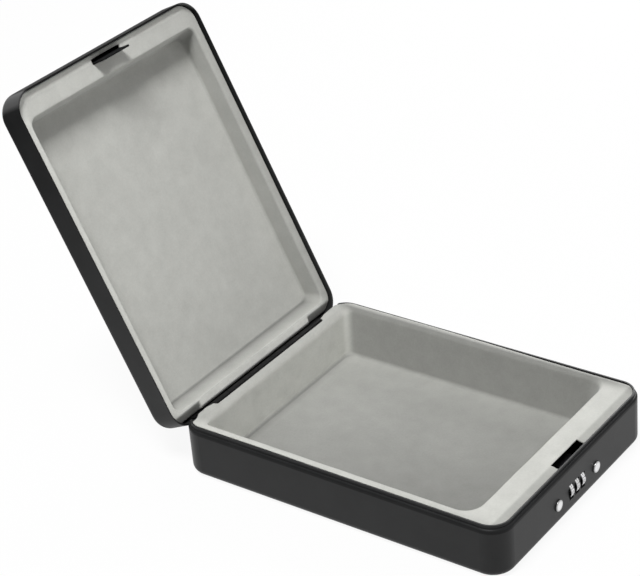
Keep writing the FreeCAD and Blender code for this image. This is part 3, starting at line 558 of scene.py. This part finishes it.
# Blackened steel of the lock and springs, darker still as painted shade where it shows through the hook's
# slot
STEEL_AND_SLOT_SHADE = plated_metal("blackened_steel_and_slot_shade", *STEEL_AND_SLOT_SHADE_TONES, smooth=0.35, rough=0.55, lay=ACROSS)
CAM_BRASS = plated_metal("cam_brass_turned", *BRASS_TONES, smooth=0.25, rough=0.45, lay=ALONG)
# Painted shade in the dials' flutes and towards their sides, and round the buttons' rims
DIAL_METAL = plated_metal("dial_nickel", *DIAL_TONES, smooth=0.12, rough=0.3, lay=ACROSS,
                          shade=DIAL_SHADE, side_shade=DIAL_SIDE_SHADE)
BUTTON_METAL = plated_metal("button_nickel", *BUTTON_TONES, smooth=0.12, rough=0.3, lay=ACROSS,
                            shade=BUTTON_SHADE)
# The real black of the hinge, darker and duller than the coat as painted shade in the gap
HINGE_SHADED_BLACK = powder_coat("hinge_black_shaded", *HINGE_SHADED_TONES, roughness=0.5, gloss=0.08)
DIGIT_BLACK = digit_paint("digit_black")

FINISHES = {
    BASE_COAT: ("base_shell",),
    LID_SHADED_COAT: ("lid_shell", "lid_hook"),
    HINGE_SHADED_BLACK: ("hinge_leaf_base", "hinge_leaf_lid", "hinge_pin"),
    STEEL_AND_SLOT_SHADE: ("lock_frame", "lock_cover", "lock_studs", "lock_nuts", "dial_spindle",
                  "spindle_clips", "detent_spring", "release_plate"),
    DIAL_METAL: ("dial_wheel_1", "dial_wheel_2", "dial_wheel_3"),
    BUTTON_METAL: ("button_left", "button_right"),
    CAM_BRASS: ("dial_cam_1", "dial_cam_2", "dial_cam_3"),
}
for finish, names in FINISHES.items():
    for name in names:
        NODES[name].data.materials.clear()
        NODES[name].data.materials.append(finish)


# Soft liners

def eased(share):
    """Smooth step: three t squared less two t cubed, with t kept between 0 and 1."""
    share = np.clip(share, 0.0, 1.0)
    return share * share * (3.0 - 2.0 * share)


def between(value, start, full):
    """Smooth step from 0 where the value is at its start to 1 where it is full."""
    return eased((value - start) / (full - start))


def ring_columns(slot_half):
    """X places of the points along the front and back of every ring, closer at the slot and the lugs."""
    close = np.concatenate([slot_half + np.array(SLOT_STEPS), LUG_X + np.array(LUG_STEPS)])
    even = np.arange(COLUMN_STEP, COLUMN_REACH, COLUMN_STEP)
    even = even[np.abs(even[:, None] - close).min(1) > COLUMN_GAP]
    marks = np.sort(np.concatenate([even, close]))
    return np.concatenate([-marks[::-1], [0.0], marks])


def rings(x1, y0, y1, front, back, xs):
    """One closed ring per row round a rounded rectangle of half width x1 with its own front and back radius:
    quarter arcs at the corners and straight runs between them, where front and back points keep the places
    xs as long as they fit."""
    x1, y0, y1, front, back = (np.reshape(value, (-1, 1)) for value in (x1, y0, y1, front, back))
    turn = np.linspace(0.0, np.pi / 2, CORNER_STEPS + 1)[None, :]
    share = np.linspace(0.0, 1.0, SIDE_STEPS + 2)[None, 1:-1]
    room = xs.max() + COLUMN_ROOM
    fits = [xs[None, :] * np.minimum(1.0, (x1 - radius) / room) for radius in (front, back)]
    low, high = y0 + front, y1 - back
    cos, sin = np.cos(turn), np.sin(turn)
    flat, run = np.ones_like(fits[0]), np.ones_like(x1 * share)
    x = np.concatenate([x1 - back * (1 - cos), -fits[1], -x1 + back * (1 - sin), -x1 * run,
                        -x1 + front * (1 - cos), fits[0], x1 - front * (1 - sin), x1 * run], axis=1)
    y = np.concatenate([high + back * sin, y1 * flat, high + back * cos, high + (low - high) * share,
                        low - front * sin, y0 * flat, low - front * cos, low + (high - low) * share], axis=1)
    return x, y


def ring_weights(count):
    """How much each point of a ring belongs to the sides, the front and the back; corners pass smoothly."""
    turn = np.linspace(0.0, np.pi / 2, CORNER_STEPS + 1)
    rise, fall, corner = np.sin(turn) ** 2, np.cos(turn) ** 2, np.zeros_like(turn)
    run, none = np.ones(SIDE_STEPS), np.zeros(SIDE_STEPS)
    flat, empty = np.ones(count), np.zeros(count)
    return {"side": np.concatenate([fall, empty, rise, run, fall, empty, rise, run]),
            "front": np.concatenate([corner, empty, corner, none, rise, flat, fall, none]),
            "back": np.concatenate([rise, flat, fall, none, corner, empty, corner, none])}


def side_profile(mouth, lean, depth, mouth_round, floor_round):
    """Inset and depth of one side of a liner from the end of its level lip down to its floor: an arc over the
    mouth, the leaning wall, and an arc into the floor. Each arc turns by a right angle less the lean."""
    turn = math.pi / 2 - math.atan2(lean, depth)
    wall = np.array([lean, depth]) / math.hypot(lean, depth)
    mouth_cut = mouth_round * math.tan(turn / 2)
    floor_cut = floor_round * math.tan(turn / 2)
    bend = turn * np.linspace(0.0, 1.0, ARC_STEPS + 1)
    over = np.stack([mouth - mouth_cut + mouth_round * np.sin(bend), mouth_round * (1 - np.cos(bend))], 1)
    first = np.array([mouth, 0.0]) + wall * mouth_cut
    last = np.array([mouth + lean, depth]) - wall * floor_cut
    down = first + (last - first) * np.linspace(0.0, 1.0, WALL_STEPS + 1)[1:-1, None]
    bend = bend[::-1]
    under = np.stack([mouth + lean + floor_cut - floor_round * np.sin(bend),
                      depth - floor_round * (1 - np.cos(bend))], 1)
    return np.concatenate([over, down, under])


def waves(place):
    """Slow unevenness of a moulded sheet: three crossed sine waves, at most one unit high."""
    x, y, z = place[..., 0], place[..., 1], place[..., 2]
    return (0.5 * np.sin(0.13 * x + 0.05 * y + 0.11 * z + 0.6) * np.sin(0.09 * y - 0.07 * z)
            + 0.3 * np.sin(0.21 * y + 0.17 * z + 1.9) * np.cos(0.16 * x)
            + 0.2 * np.sin(0.34 * x - 0.29 * y - 0.27 * z))


def outside_slot(x, y, slot):
    """How far each point lies outside the slot's rectangle, below zero inside it."""
    half, front, back = slot
    return np.maximum(np.abs(x) - half, np.maximum(front - y, y - back))


def liner_grid(shape, back_edge):
    """Visible face of a liner as x, y and depth grids, with the part of the sheet that each row belongs to
    and the side that each column belongs to. Rows run from the lip's outer edge over the mouth and down the
    walls to the middle of the floor, columns run round the box."""
    xs = ring_columns(shape["slot"][0])
    weights = ring_weights(len(xs))
    walls = {key: side_profile(*shape[key][:2], shape["depth"], shape[key][2], shape["floor_round"])
             for key in weights}
    inset = {key: wall[:, 0] for key, wall in walls.items()}
    front, back = (np.full(len(inset["side"]), radius) for radius in shape["radii"])
    wall_x, wall_y = rings(HALF_WIDTH - inset["side"], inset["front"] - HALF_LENGTH,
                           HALF_LENGTH - inset["back"], front, back, xs)
    wall_depth = sum(weights[key] * walls[key][:, 1:] for key in walls)
    edge_x, edge_y = rings(HALF_WIDTH - shape["edge"], shape["edge"] - HALF_LENGTH,
                           HALF_LENGTH - shape["edge"], shape["edge_radius"], shape["edge_radius"], xs)
    edge_y = np.minimum(edge_y, back_edge(edge_x))
    share = np.array(shape["lip_rows"])[:, None] / (wall_y[0].min() - edge_y.min())
    lip_x = edge_x + (wall_x[:1] - edge_x) * share
    lip_y = edge_y + (wall_y[:1] - edge_y) * share
    from_edge = np.hypot(lip_x - edge_x, lip_y - edge_y)
    lip_depth = EDGE_DROP * np.clip(1 - from_edge / EDGE_ROLL, 0.0, 1.0) ** 2
    from_slot = outside_slot(lip_x, lip_y, shape["slot"])
    lip_depth += SLOT_DROP * np.clip(1 - from_slot / SLOT_ROLL, 0.0, 1.0) ** 2
    shrink = np.linspace(0.0, 1.0, FLOOR_STEPS + 1)[1:]
    gone = shrink * (HALF_WIDTH - inset["side"][-1])
    floor_x, floor_y = rings(HALF_WIDTH - inset["side"][-1] - gone, inset["front"][-1] - HALF_LENGTH + gone,
                             HALF_LENGTH - inset["back"][-1] - gone, front[-1] * (1 - shrink),
                             back[-1] * (1 - shrink), xs)
    floor_depth = np.full_like(floor_x, shape["depth"])
    bend = np.linspace(0.0, 1.0, ARC_STEPS + 1)
    wall = [bend, np.ones(WALL_STEPS - 1), 1 + bend]
    part = np.concatenate([np.zeros(len(lip_x)), *wall, np.full(FLOOR_STEPS, 2.0)])[:, None]
    x = np.concatenate([lip_x, wall_x, floor_x])
    y = np.concatenate([lip_y, wall_y, floor_y])
    depth = np.concatenate([lip_depth, wall_depth, floor_depth])
    return (x, y, depth), part, weights


def zones(part):
    """How much each row belongs to the lip, to what lies inside the mouth, and to the floor."""
    return tuple(np.clip(share, 0.0, 1.0) for share in (1 - part, part, part - 1))


def paint_shade_and_tone(depth, part, weights, shape, share):
    """Painted shade and tone of a liner: part runs from 0 on the lip over 1 on the walls to 2 on the floor,
    each with its own share. Over the mouth the lip's share gives way by a power of part. Walls pass from the
    share at their top to that at their foot, and a bump of painted shade lies along the crease."""
    lip, top, foot, crease, turn = sum(weights[key] * np.array(share[key])[:, None] for key in weights)
    _, inside, floor = zones(part)
    over = inside ** turn
    wall = top + (foot - top) * depth / shape["depth"]
    wall += crease * np.clip(1 - (shape["depth"] - depth) / CREASE_REACH, 0.0, 1.0) ** 2 / 2
    bend = floor * (CREASE_FOOT + CREASE_PEAK * (1 - floor))
    bend[-FLOOR_STEPS:] = 0.0
    return (1 - over) * lip + (over - floor) * wall + floor * share["floor"] + bend * crease


def grid_normals(place):
    """Unit normals of a grid that wraps round its columns, from the cross product of its two directions;
    points where the last ring folds together take the floor's own normal."""
    around = np.roll(place, -1, 1) - np.roll(place, 1, 1)
    across = np.gradient(place, axis=0)
    normal = np.cross(around, across)
    length = np.linalg.norm(normal, axis=2, keepdims=True)
    level = normal[-2].sum(0) / np.linalg.norm(normal[-2].sum(0))
    return np.where(length > FLAT_LIMIT, normal / np.maximum(length, FLAT_LIMIT), level)


def grid_faces(rows, columns, kept, flip):
    """Four-sided faces of a grid that wraps round its columns, where kept is true."""
    index = np.arange(rows * columns).reshape(rows, columns)
    near, far = index[:-1], index[1:]
    faces = np.stack([near, np.roll(near, -1, 1), np.roll(far, -1, 1), far], -1)[kept]
    return faces[:, ::-1] if flip else faces


def swept_faces(rows, columns):
    """All faces of a tube whose rows run along it and whose columns run round its section."""
    return grid_faces(rows, columns, np.ones((rows - 1, columns), bool), False)


def add_piece(name, points, faces, finish, painted_shade_and_tone=None):
    """Smooth new piece from points in metres: points that meet are joined, and spare ones go. The painted
    shade and tone of a liner is kept as an attribute of its points."""
    mesh = bpy.data.meshes.new(name)
    mesh.from_pydata(points.reshape(-1, 3).tolist(), [], faces.tolist())
    if painted_shade_and_tone is not None:
        values = painted_shade_and_tone.ravel().astype(np.float32)
        mesh.attributes.new("painted_shade_and_tone", "FLOAT", "POINT").data.foreach_set("value", values)
    work = bmesh.new()
    work.from_mesh(mesh)
    bmesh.ops.remove_doubles(work, verts=work.verts, dist=MERGE_REACH)
    spare = [vert for vert in work.verts if not vert.link_faces]
    bmesh.ops.delete(work, geom=spare, context="VERTS")
    work.to_mesh(mesh)
    work.free()
    mesh.shade_smooth()
    mesh.materials.append(finish)
    piece = bpy.data.objects.new(name, mesh)
    bpy.context.scene.collection.objects.link(piece)
    return piece


def liner_piece(name, place, part, kept, painted_shade_and_tone, flip, body, node):
    """Sheet of even thickness behind the visible face, waved least on the lip; the floor's last ring meets
    along its middle line."""
    inside = zones(part)[1]
    height = LINER_WAVE * (LIP_WAVE + (1 - LIP_WAVE) * inside) * waves(place)
    place = place + height[..., None] * grid_normals(place)
    piece = add_piece(name, place * MM, grid_faces(*place.shape[:2], kept, flip), GREY_FLOCK, painted_shade_and_tone)
    wall = piece.modifiers.new("liner_wall", "SOLIDIFY")
    wall.thickness = LINER_WALL * MM
    wall.offset = -1.0
    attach(piece, body)
    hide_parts(node)


def kept_faces(x, y, depth, slot):
    """Which faces of a liner grid stay when its slot is cut: those with their middle outside it, or deep."""
    middles = []
    for grid in (x, y, depth):
        pair = (grid[:-1] + grid[1:]) / 2
        middles.append((pair + np.roll(pair, -1, 1)) / 2)
    return (outside_slot(middles[0], middles[1], slot) > 0) | (middles[2] > SLOT_DEPTH)


def make_base_liner():
    """Deep base tray: wide front lip whose outer band slopes to the rim, a slot for the lid's hook, and a
    rear edge cut back along the hinge barrel."""
    def back_edge(x):
        beyond = np.abs(x) - LUG_X
        step = LUG_STEP * between(beyond, -LUG_PASSAGE / 2, LUG_PASSAGE / 2)
        swell = (LUG_BACK_Y - BARREL_BACK_Y - LUG_STEP) * eased(beyond / LUG_SWELL)
        chamfer = LUG_CHAMFER * between(-x, *LUG_CHAMFER_X)
        return BARREL_BACK_Y + step + swell - chamfer

    (x, y, depth), part, weights = liner_grid(BASE_LINER, back_edge)
    lip, _, floor = zones(part)
    below = FRONT_SLOPE_Y - y
    slope = FRONT_SLOPE * (below + np.hypot(below, FRONT_SLOPE_SOFT)) / 2
    outer = np.clip((np.abs(x) - SIDE_TUCK_X[0]) / (SIDE_TUCK_X[1] - SIDE_TUCK_X[0]), 0.0, 1.0)
    tuck = outer ** 2 * (SIDE_TUCK[0] + SIDE_TUCK[1] * between(y, *SIDE_TUCK_Y))
    place = np.stack([x, y, BASE_LINER_Z - depth - lip * (slope + tuck)], -1)
    # Painted shade and tone of the base liner: painted shade across the floor and on the far lip, and a
    # darker band on the front slope
    painted_shade_and_tone = paint_shade_and_tone(depth, part, weights, BASE_LINER, BASE_SHADE_AND_TONE)
    painted_shade_and_tone += floor * (FLOOR_SHADE_DRIFT[0] * x / HALF_WIDTH + FLOOR_SHADE_DRIFT[1] * y / HALF_LENGTH)
    painted_shade_and_tone += lip * SLOPE_DARKENING * between(y, *SLOPE_DARKENING_Y)
    painted_shade_and_tone += lip * weights["side"] * FAR_LIP_SHADE * (x > 0) * between(x, *FAR_LIP_X)
    kept = kept_faces(x, y, depth, BASE_LINER["slot"])
    liner_piece("base_liner_flocked", place, part, kept, painted_shade_and_tone, False, "base", "base_liner")


def make_lid_liner():
    """Shallow lid tray, built closed and then turned about the hinge to the open rest."""
    (x, y, depth), part, weights = liner_grid(LID_LINER, lambda places: np.full_like(places, LID_BACK_Y))
    lip, inside, floor = zones(part)
    flap = np.clip((y - LID_FLAP_Y) / (LID_BACK_Y - LID_FLAP_Y), 0.0, 1.0)
    flap *= LID_FLAP_DROP * eased((np.abs(x) - LUG_X) / LID_FLAP_PASSAGE)
    rear = LID_REAR_DROP * np.clip(1 - (LID_BACK_Y - y) / LID_REAR_ROLL, 0.0, 1.0) ** 2
    z = LID_LINER_Z + depth + np.maximum(flap, rear)
    cos, sin = math.cos(OPEN_ANGLE), math.sin(OPEN_ANGLE)
    back, up = y - HINGE_Y, z - HINGE_Z
    place = np.stack([x, HINGE_Y + back * cos + up * sin, HINGE_Z - back * sin + up * cos], -1)
    # Painted shade and tone of the lid liner: painted light and shade on the side lips, painted shade on the
    # flaps, in the +X front corner, on the floor under the front lip and towards the +X end of the front lip,
    # and painted light on the outer edge of the front lip
    painted_shade_and_tone = paint_shade_and_tone(depth, part, weights, LID_LINER, LID_SHADE_AND_TONE)
    painted_shade_and_tone += LID_LIP_SIDE_SHADE * lip * weights["side"] * np.sign(x)
    painted_shade_and_tone += LID_FLAP_SHADE * np.clip(flap, 0.0, 1.0)
    painted_shade_and_tone += LID_CORNER_SHADE * inside * between(x, *LID_CORNER_X) * between(y, *LID_CORNER_Y)
    painted_shade_and_tone += LID_TOP_SHADOW * floor * between(y, *LID_TOP_Y)
    painted_shade_and_tone += LID_EDGE_LIGHT * lip * weights["front"] * between(y, *LID_EDGE_Y)
    painted_shade_and_tone += LID_DRIFT_SHADE * lip * weights["front"] * between(x, *LID_DRIFT_X)
    kept = kept_faces(x, y, depth, LID_LINER["slot"])
    liner_piece("lid_liner_flocked", place, part, kept, painted_shade_and_tone, True, "lid", "lid_liner")


make_base_liner()
make_lid_liner()


# Dial numbers

def arc(x, y, across, up, start, stop):
    """Points along an ellipse about x, y from one angle to another, in degrees."""
    turn = np.radians(np.linspace(start, stop, GLYPH_STEPS))
    return np.stack([x + across * np.cos(turn), y + up * np.sin(turn)], 1)


def glyph_strokes(digit):
    """Centre lines of one plain number in a cell 1 wide and 2 tall about its middle."""
    strokes = {
        0: [arc(0.0, 0.0, 0.5, 1.0, 90, 450)],
        1: [np.array([(-0.3, 0.65), (0.05, 1.0), (0.05, -1.0)])],
        2: [np.concatenate([arc(0.0, 0.5, 0.5, 0.5, 165, -40), [(-0.5, -1.0), (0.5, -1.0)]])],
        3: [arc(-0.05, 0.5, 0.5, 0.5, 150, -90), arc(-0.05, -0.5, 0.55, 0.5, 90, -150)],
        4: [np.array([(0.25, -1.0), (0.25, 1.0), (-0.5, -0.4), (0.5, -0.4)])],
        5: [np.concatenate([[(0.45, 1.0), (-0.4, 1.0), (-0.45, 0.1)],
                            arc(-0.05, -0.35, 0.55, 0.65, 130, -150)])],
        6: [arc(0.0, -0.4, 0.5, 0.6, 90, 450), arc(0.5, -0.4, 1.0, 1.4, 180, 110)],
        7: [np.array([(-0.5, 1.0), (0.5, 1.0), (-0.15, -1.0)])],
        8: [arc(0.0, 0.5, 0.42, 0.5, -90, 270), arc(0.0, -0.5, 0.5, 0.5, 90, 450)],
        9: [arc(0.0, 0.4, 0.5, 0.6, 90, 450), arc(-0.5, 0.4, 1.0, 1.4, 0, -70)],
    }
    return strokes[digit]


def even_points(line):
    """A stroke's centre line with its points spread evenly along its length."""
    run = np.concatenate([[0.0], np.cumsum(np.hypot(*np.diff(line, axis=0).T))])
    steps = np.linspace(0.0, run[-1], STROKE_POINTS)
    return np.stack([np.interp(steps, run, line[:, 0]), np.interp(steps, run, line[:, 1])], 1)


def make_dial_numbers(dial, x):
    """Ten numbers round a wheel as low beads: each stroke is a flat oval swept along its centre line, closed
    to a point at both ends and wrapped on the wheel's round between the flutes."""
    lines, angles = [], []
    for digit in range(DIAL_DIGITS):
        for line in glyph_strokes(digit):
            lines.append(even_points(line))
            angles.append(2 * math.pi * digit / DIAL_DIGITS)
    path = np.array(lines) * np.array([DIGIT_WIDTH, DIGIT_HEIGHT / 2])
    heading = np.gradient(path, axis=1)
    heading /= np.linalg.norm(heading, axis=2, keepdims=True)
    across = np.stack([-heading[..., 1], heading[..., 0]], -1)[:, :, None, :]
    section = np.linspace(0.0, 2 * np.pi, BEAD_SIDES, endpoint=False)
    count = np.arange(STROKE_POINTS)
    taper = np.sqrt(np.clip(np.minimum(count, count[::-1]) / TAPER_POINTS, 0, 1))[None, :, None]
    flat = path[:, :, None, :] + across * (taper * DIGIT_STROKE / 2 * np.cos(section))[..., None]
    lift = DIAL_RADIUS + taper * DIGIT_PROUD * np.sin(section)
    turn = np.array(angles)[:, None, None] + flat[..., 1] / DIAL_RADIUS
    place = np.stack([x + flat[..., 0], DIAL_Y - lift * np.cos(turn), DIAL_Z + lift * np.sin(turn)], -1)
    first = STROKE_POINTS * BEAD_SIDES * np.arange(len(lines))[:, None, None]
    faces = (first + swept_faces(STROKE_POINTS, BEAD_SIDES)).reshape(-1, 4)
    piece = add_piece(f"dial_digits_{dial}", place * MM, faces, DIGIT_BLACK)
    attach(piece, f"dial_{dial}")


for number, place in enumerate(DIAL_XS, start=1):
    make_dial_numbers(number, place)


# Return springs

def make_return_spring(name, node):
    """Coil in the place of a spring's solid: a round wire swept along an even helix and closed to a point at
    both ends."""
    low, high = (np.array(corner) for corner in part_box(node))
    wire = SPRING_WIRE * MM
    middle = (low + high) / 2
    reach = (high[0] - low[0]) / 2 - wire
    share = np.linspace(0.0, 1.0, SPRING_STEPS)
    share = np.concatenate([share[:1], share, share[-1:]])[:, None]
    thick = np.concatenate([[0.0], np.full(SPRING_STEPS, wire), [0.0]])[:, None]
    turn = 2 * np.pi * SPRING_TURNS * share
    around = np.linspace(0.0, 2 * np.pi, SPRING_SIDES, endpoint=False)[None, :]
    out = reach + thick * np.cos(around)
    along = low[1] + wire + (high[1] - low[1] - 2 * wire) * share
    place = np.stack([middle[0] + out * np.cos(turn), along + thick * np.sin(around),
                      middle[2] + out * np.sin(turn)], -1)
    piece = add_piece(name, place, swept_faces(len(share), SPRING_SIDES), STEEL_AND_SLOT_SHADE)
    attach(piece, "base")
    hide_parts(node)
    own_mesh(piece)


for side in ("left", "right"):
    make_return_spring(f"return_coil_{side}", f"return_spring_{side}")


# Stage, lamps and camera

def seen_rays(tree):
    """One for rays from the camera, from mirrors and through glass, else nothing."""
    rays = add(tree, "ShaderNodeLightPath").outputs
    direct = sums(tree, "MAXIMUM", rays["Is Camera Ray"], rays["Is Glossy Ray"])
    return sums(tree, "MAXIMUM", direct, rays["Is Transmission Ray"])


def make_floor():
    """Plain pale floor; seen directly or mirrored it is white with a faint shadow."""
    corners = ((-FLOOR_REACH, -FLOOR_REACH), (FLOOR_REACH, -FLOOR_REACH), (FLOOR_REACH, FLOOR_REACH),
               (-FLOOR_REACH, FLOOR_REACH))
    mesh = bpy.data.meshes.new("studio_floor")
    mesh.from_pydata([(x, y, -FLOOR_DROP) for x, y in corners], [], [(0, 1, 2, 3)])
    floor = bpy.data.objects.new("studio_floor", mesh)
    bpy.context.scene.collection.objects.link(floor)
    material = bpy.data.materials.new("studio_paper")
    material.use_nodes = True
    tree = material.node_tree
    tree.nodes.clear()
    paper = add(tree, "ShaderNodeBsdfDiffuse")
    paper.inputs["Color"].default_value = PAPER_TONE
    white = add(tree, "ShaderNodeEmission")
    white.inputs["Strength"].default_value = 1.0
    mix = add(tree, "ShaderNodeMixShader")
    tree.links.new(sums(tree, "MULTIPLY", seen_rays(tree), FLOOR_WHITE), mix.inputs[0])
    tree.links.new(paper.outputs[0], mix.inputs[1])
    tree.links.new(white.outputs[0], mix.inputs[2])
    tree.links.new(mix.outputs[0], add(tree, "ShaderNodeOutputMaterial").inputs["Surface"])
    mesh.materials.append(material)


def make_world():
    """Even studio surround: white where it is seen, soft light on the object."""
    world = bpy.data.worlds.new("studio_surround")
    bpy.context.scene.world = world
    world.use_nodes = True
    tree = world.node_tree
    tree.nodes.clear()
    light = add(tree, "ShaderNodeBackground")
    light.inputs["Strength"].default_value = WORLD_LIGHT
    white = add(tree, "ShaderNodeBackground")
    white.inputs["Strength"].default_value = 1.0
    mix = add(tree, "ShaderNodeMixShader")
    tree.links.new(seen_rays(tree), mix.inputs[0])
    tree.links.new(light.outputs[0], mix.inputs[1])
    tree.links.new(white.outputs[0], mix.inputs[2])
    for node in (light, white):
        node.inputs["Color"].default_value = WHITE
    tree.links.new(mix.outputs[0], add(tree, "ShaderNodeOutputWorld").inputs["Surface"])


def make_lamps():
    """Square area lamps, all turned towards one point in the box."""
    for name, (place, side, watts) in LAMPS.items():
        data = bpy.data.lights.new(name, "AREA")
        data.energy = watts
        data.size = side
        lamp = bpy.data.objects.new(name, data)
        lamp.location = place
        lamp.rotation_euler = (LAMP_TARGET - Vector(place)).to_track_quat("-Z", "Y").to_euler()
        bpy.context.scene.collection.objects.link(lamp)


def make_camera():
    """Camera on a sphere about the view target, rolled about its own line of sight."""
    data = bpy.data.cameras.new("photo_view")
    data.sensor_width = SENSOR_MM
    data.lens = VIEW_FOCAL_PX * SENSOR_MM / IMAGE_WIDTH_PX
    data.clip_start, data.clip_end = VIEW_CLIP
    camera = bpy.data.objects.new("photo_view", data)
    azimuth = math.radians(VIEW_AZIMUTH)
    elevation = math.radians(VIEW_ELEVATION)
    back = Vector((math.sin(azimuth) * math.cos(elevation), -math.cos(azimuth) * math.cos(elevation),
                   math.sin(elevation)))
    level = back.to_track_quat("Z", "Y").to_matrix()
    turned = level @ Matrix.Rotation(math.radians(VIEW_ROLL), 3, "Z")
    camera.matrix_world = Matrix.Translation(VIEW_TARGET + back * VIEW_DISTANCE) @ turned.to_4x4()
    bpy.context.scene.collection.objects.link(camera)
    bpy.context.scene.camera = camera


make_floor()
make_world()
make_lamps()
make_camera()
bpy.context.scene.view_settings.view_transform = "Standard"

bpy.context.view_layer.update()
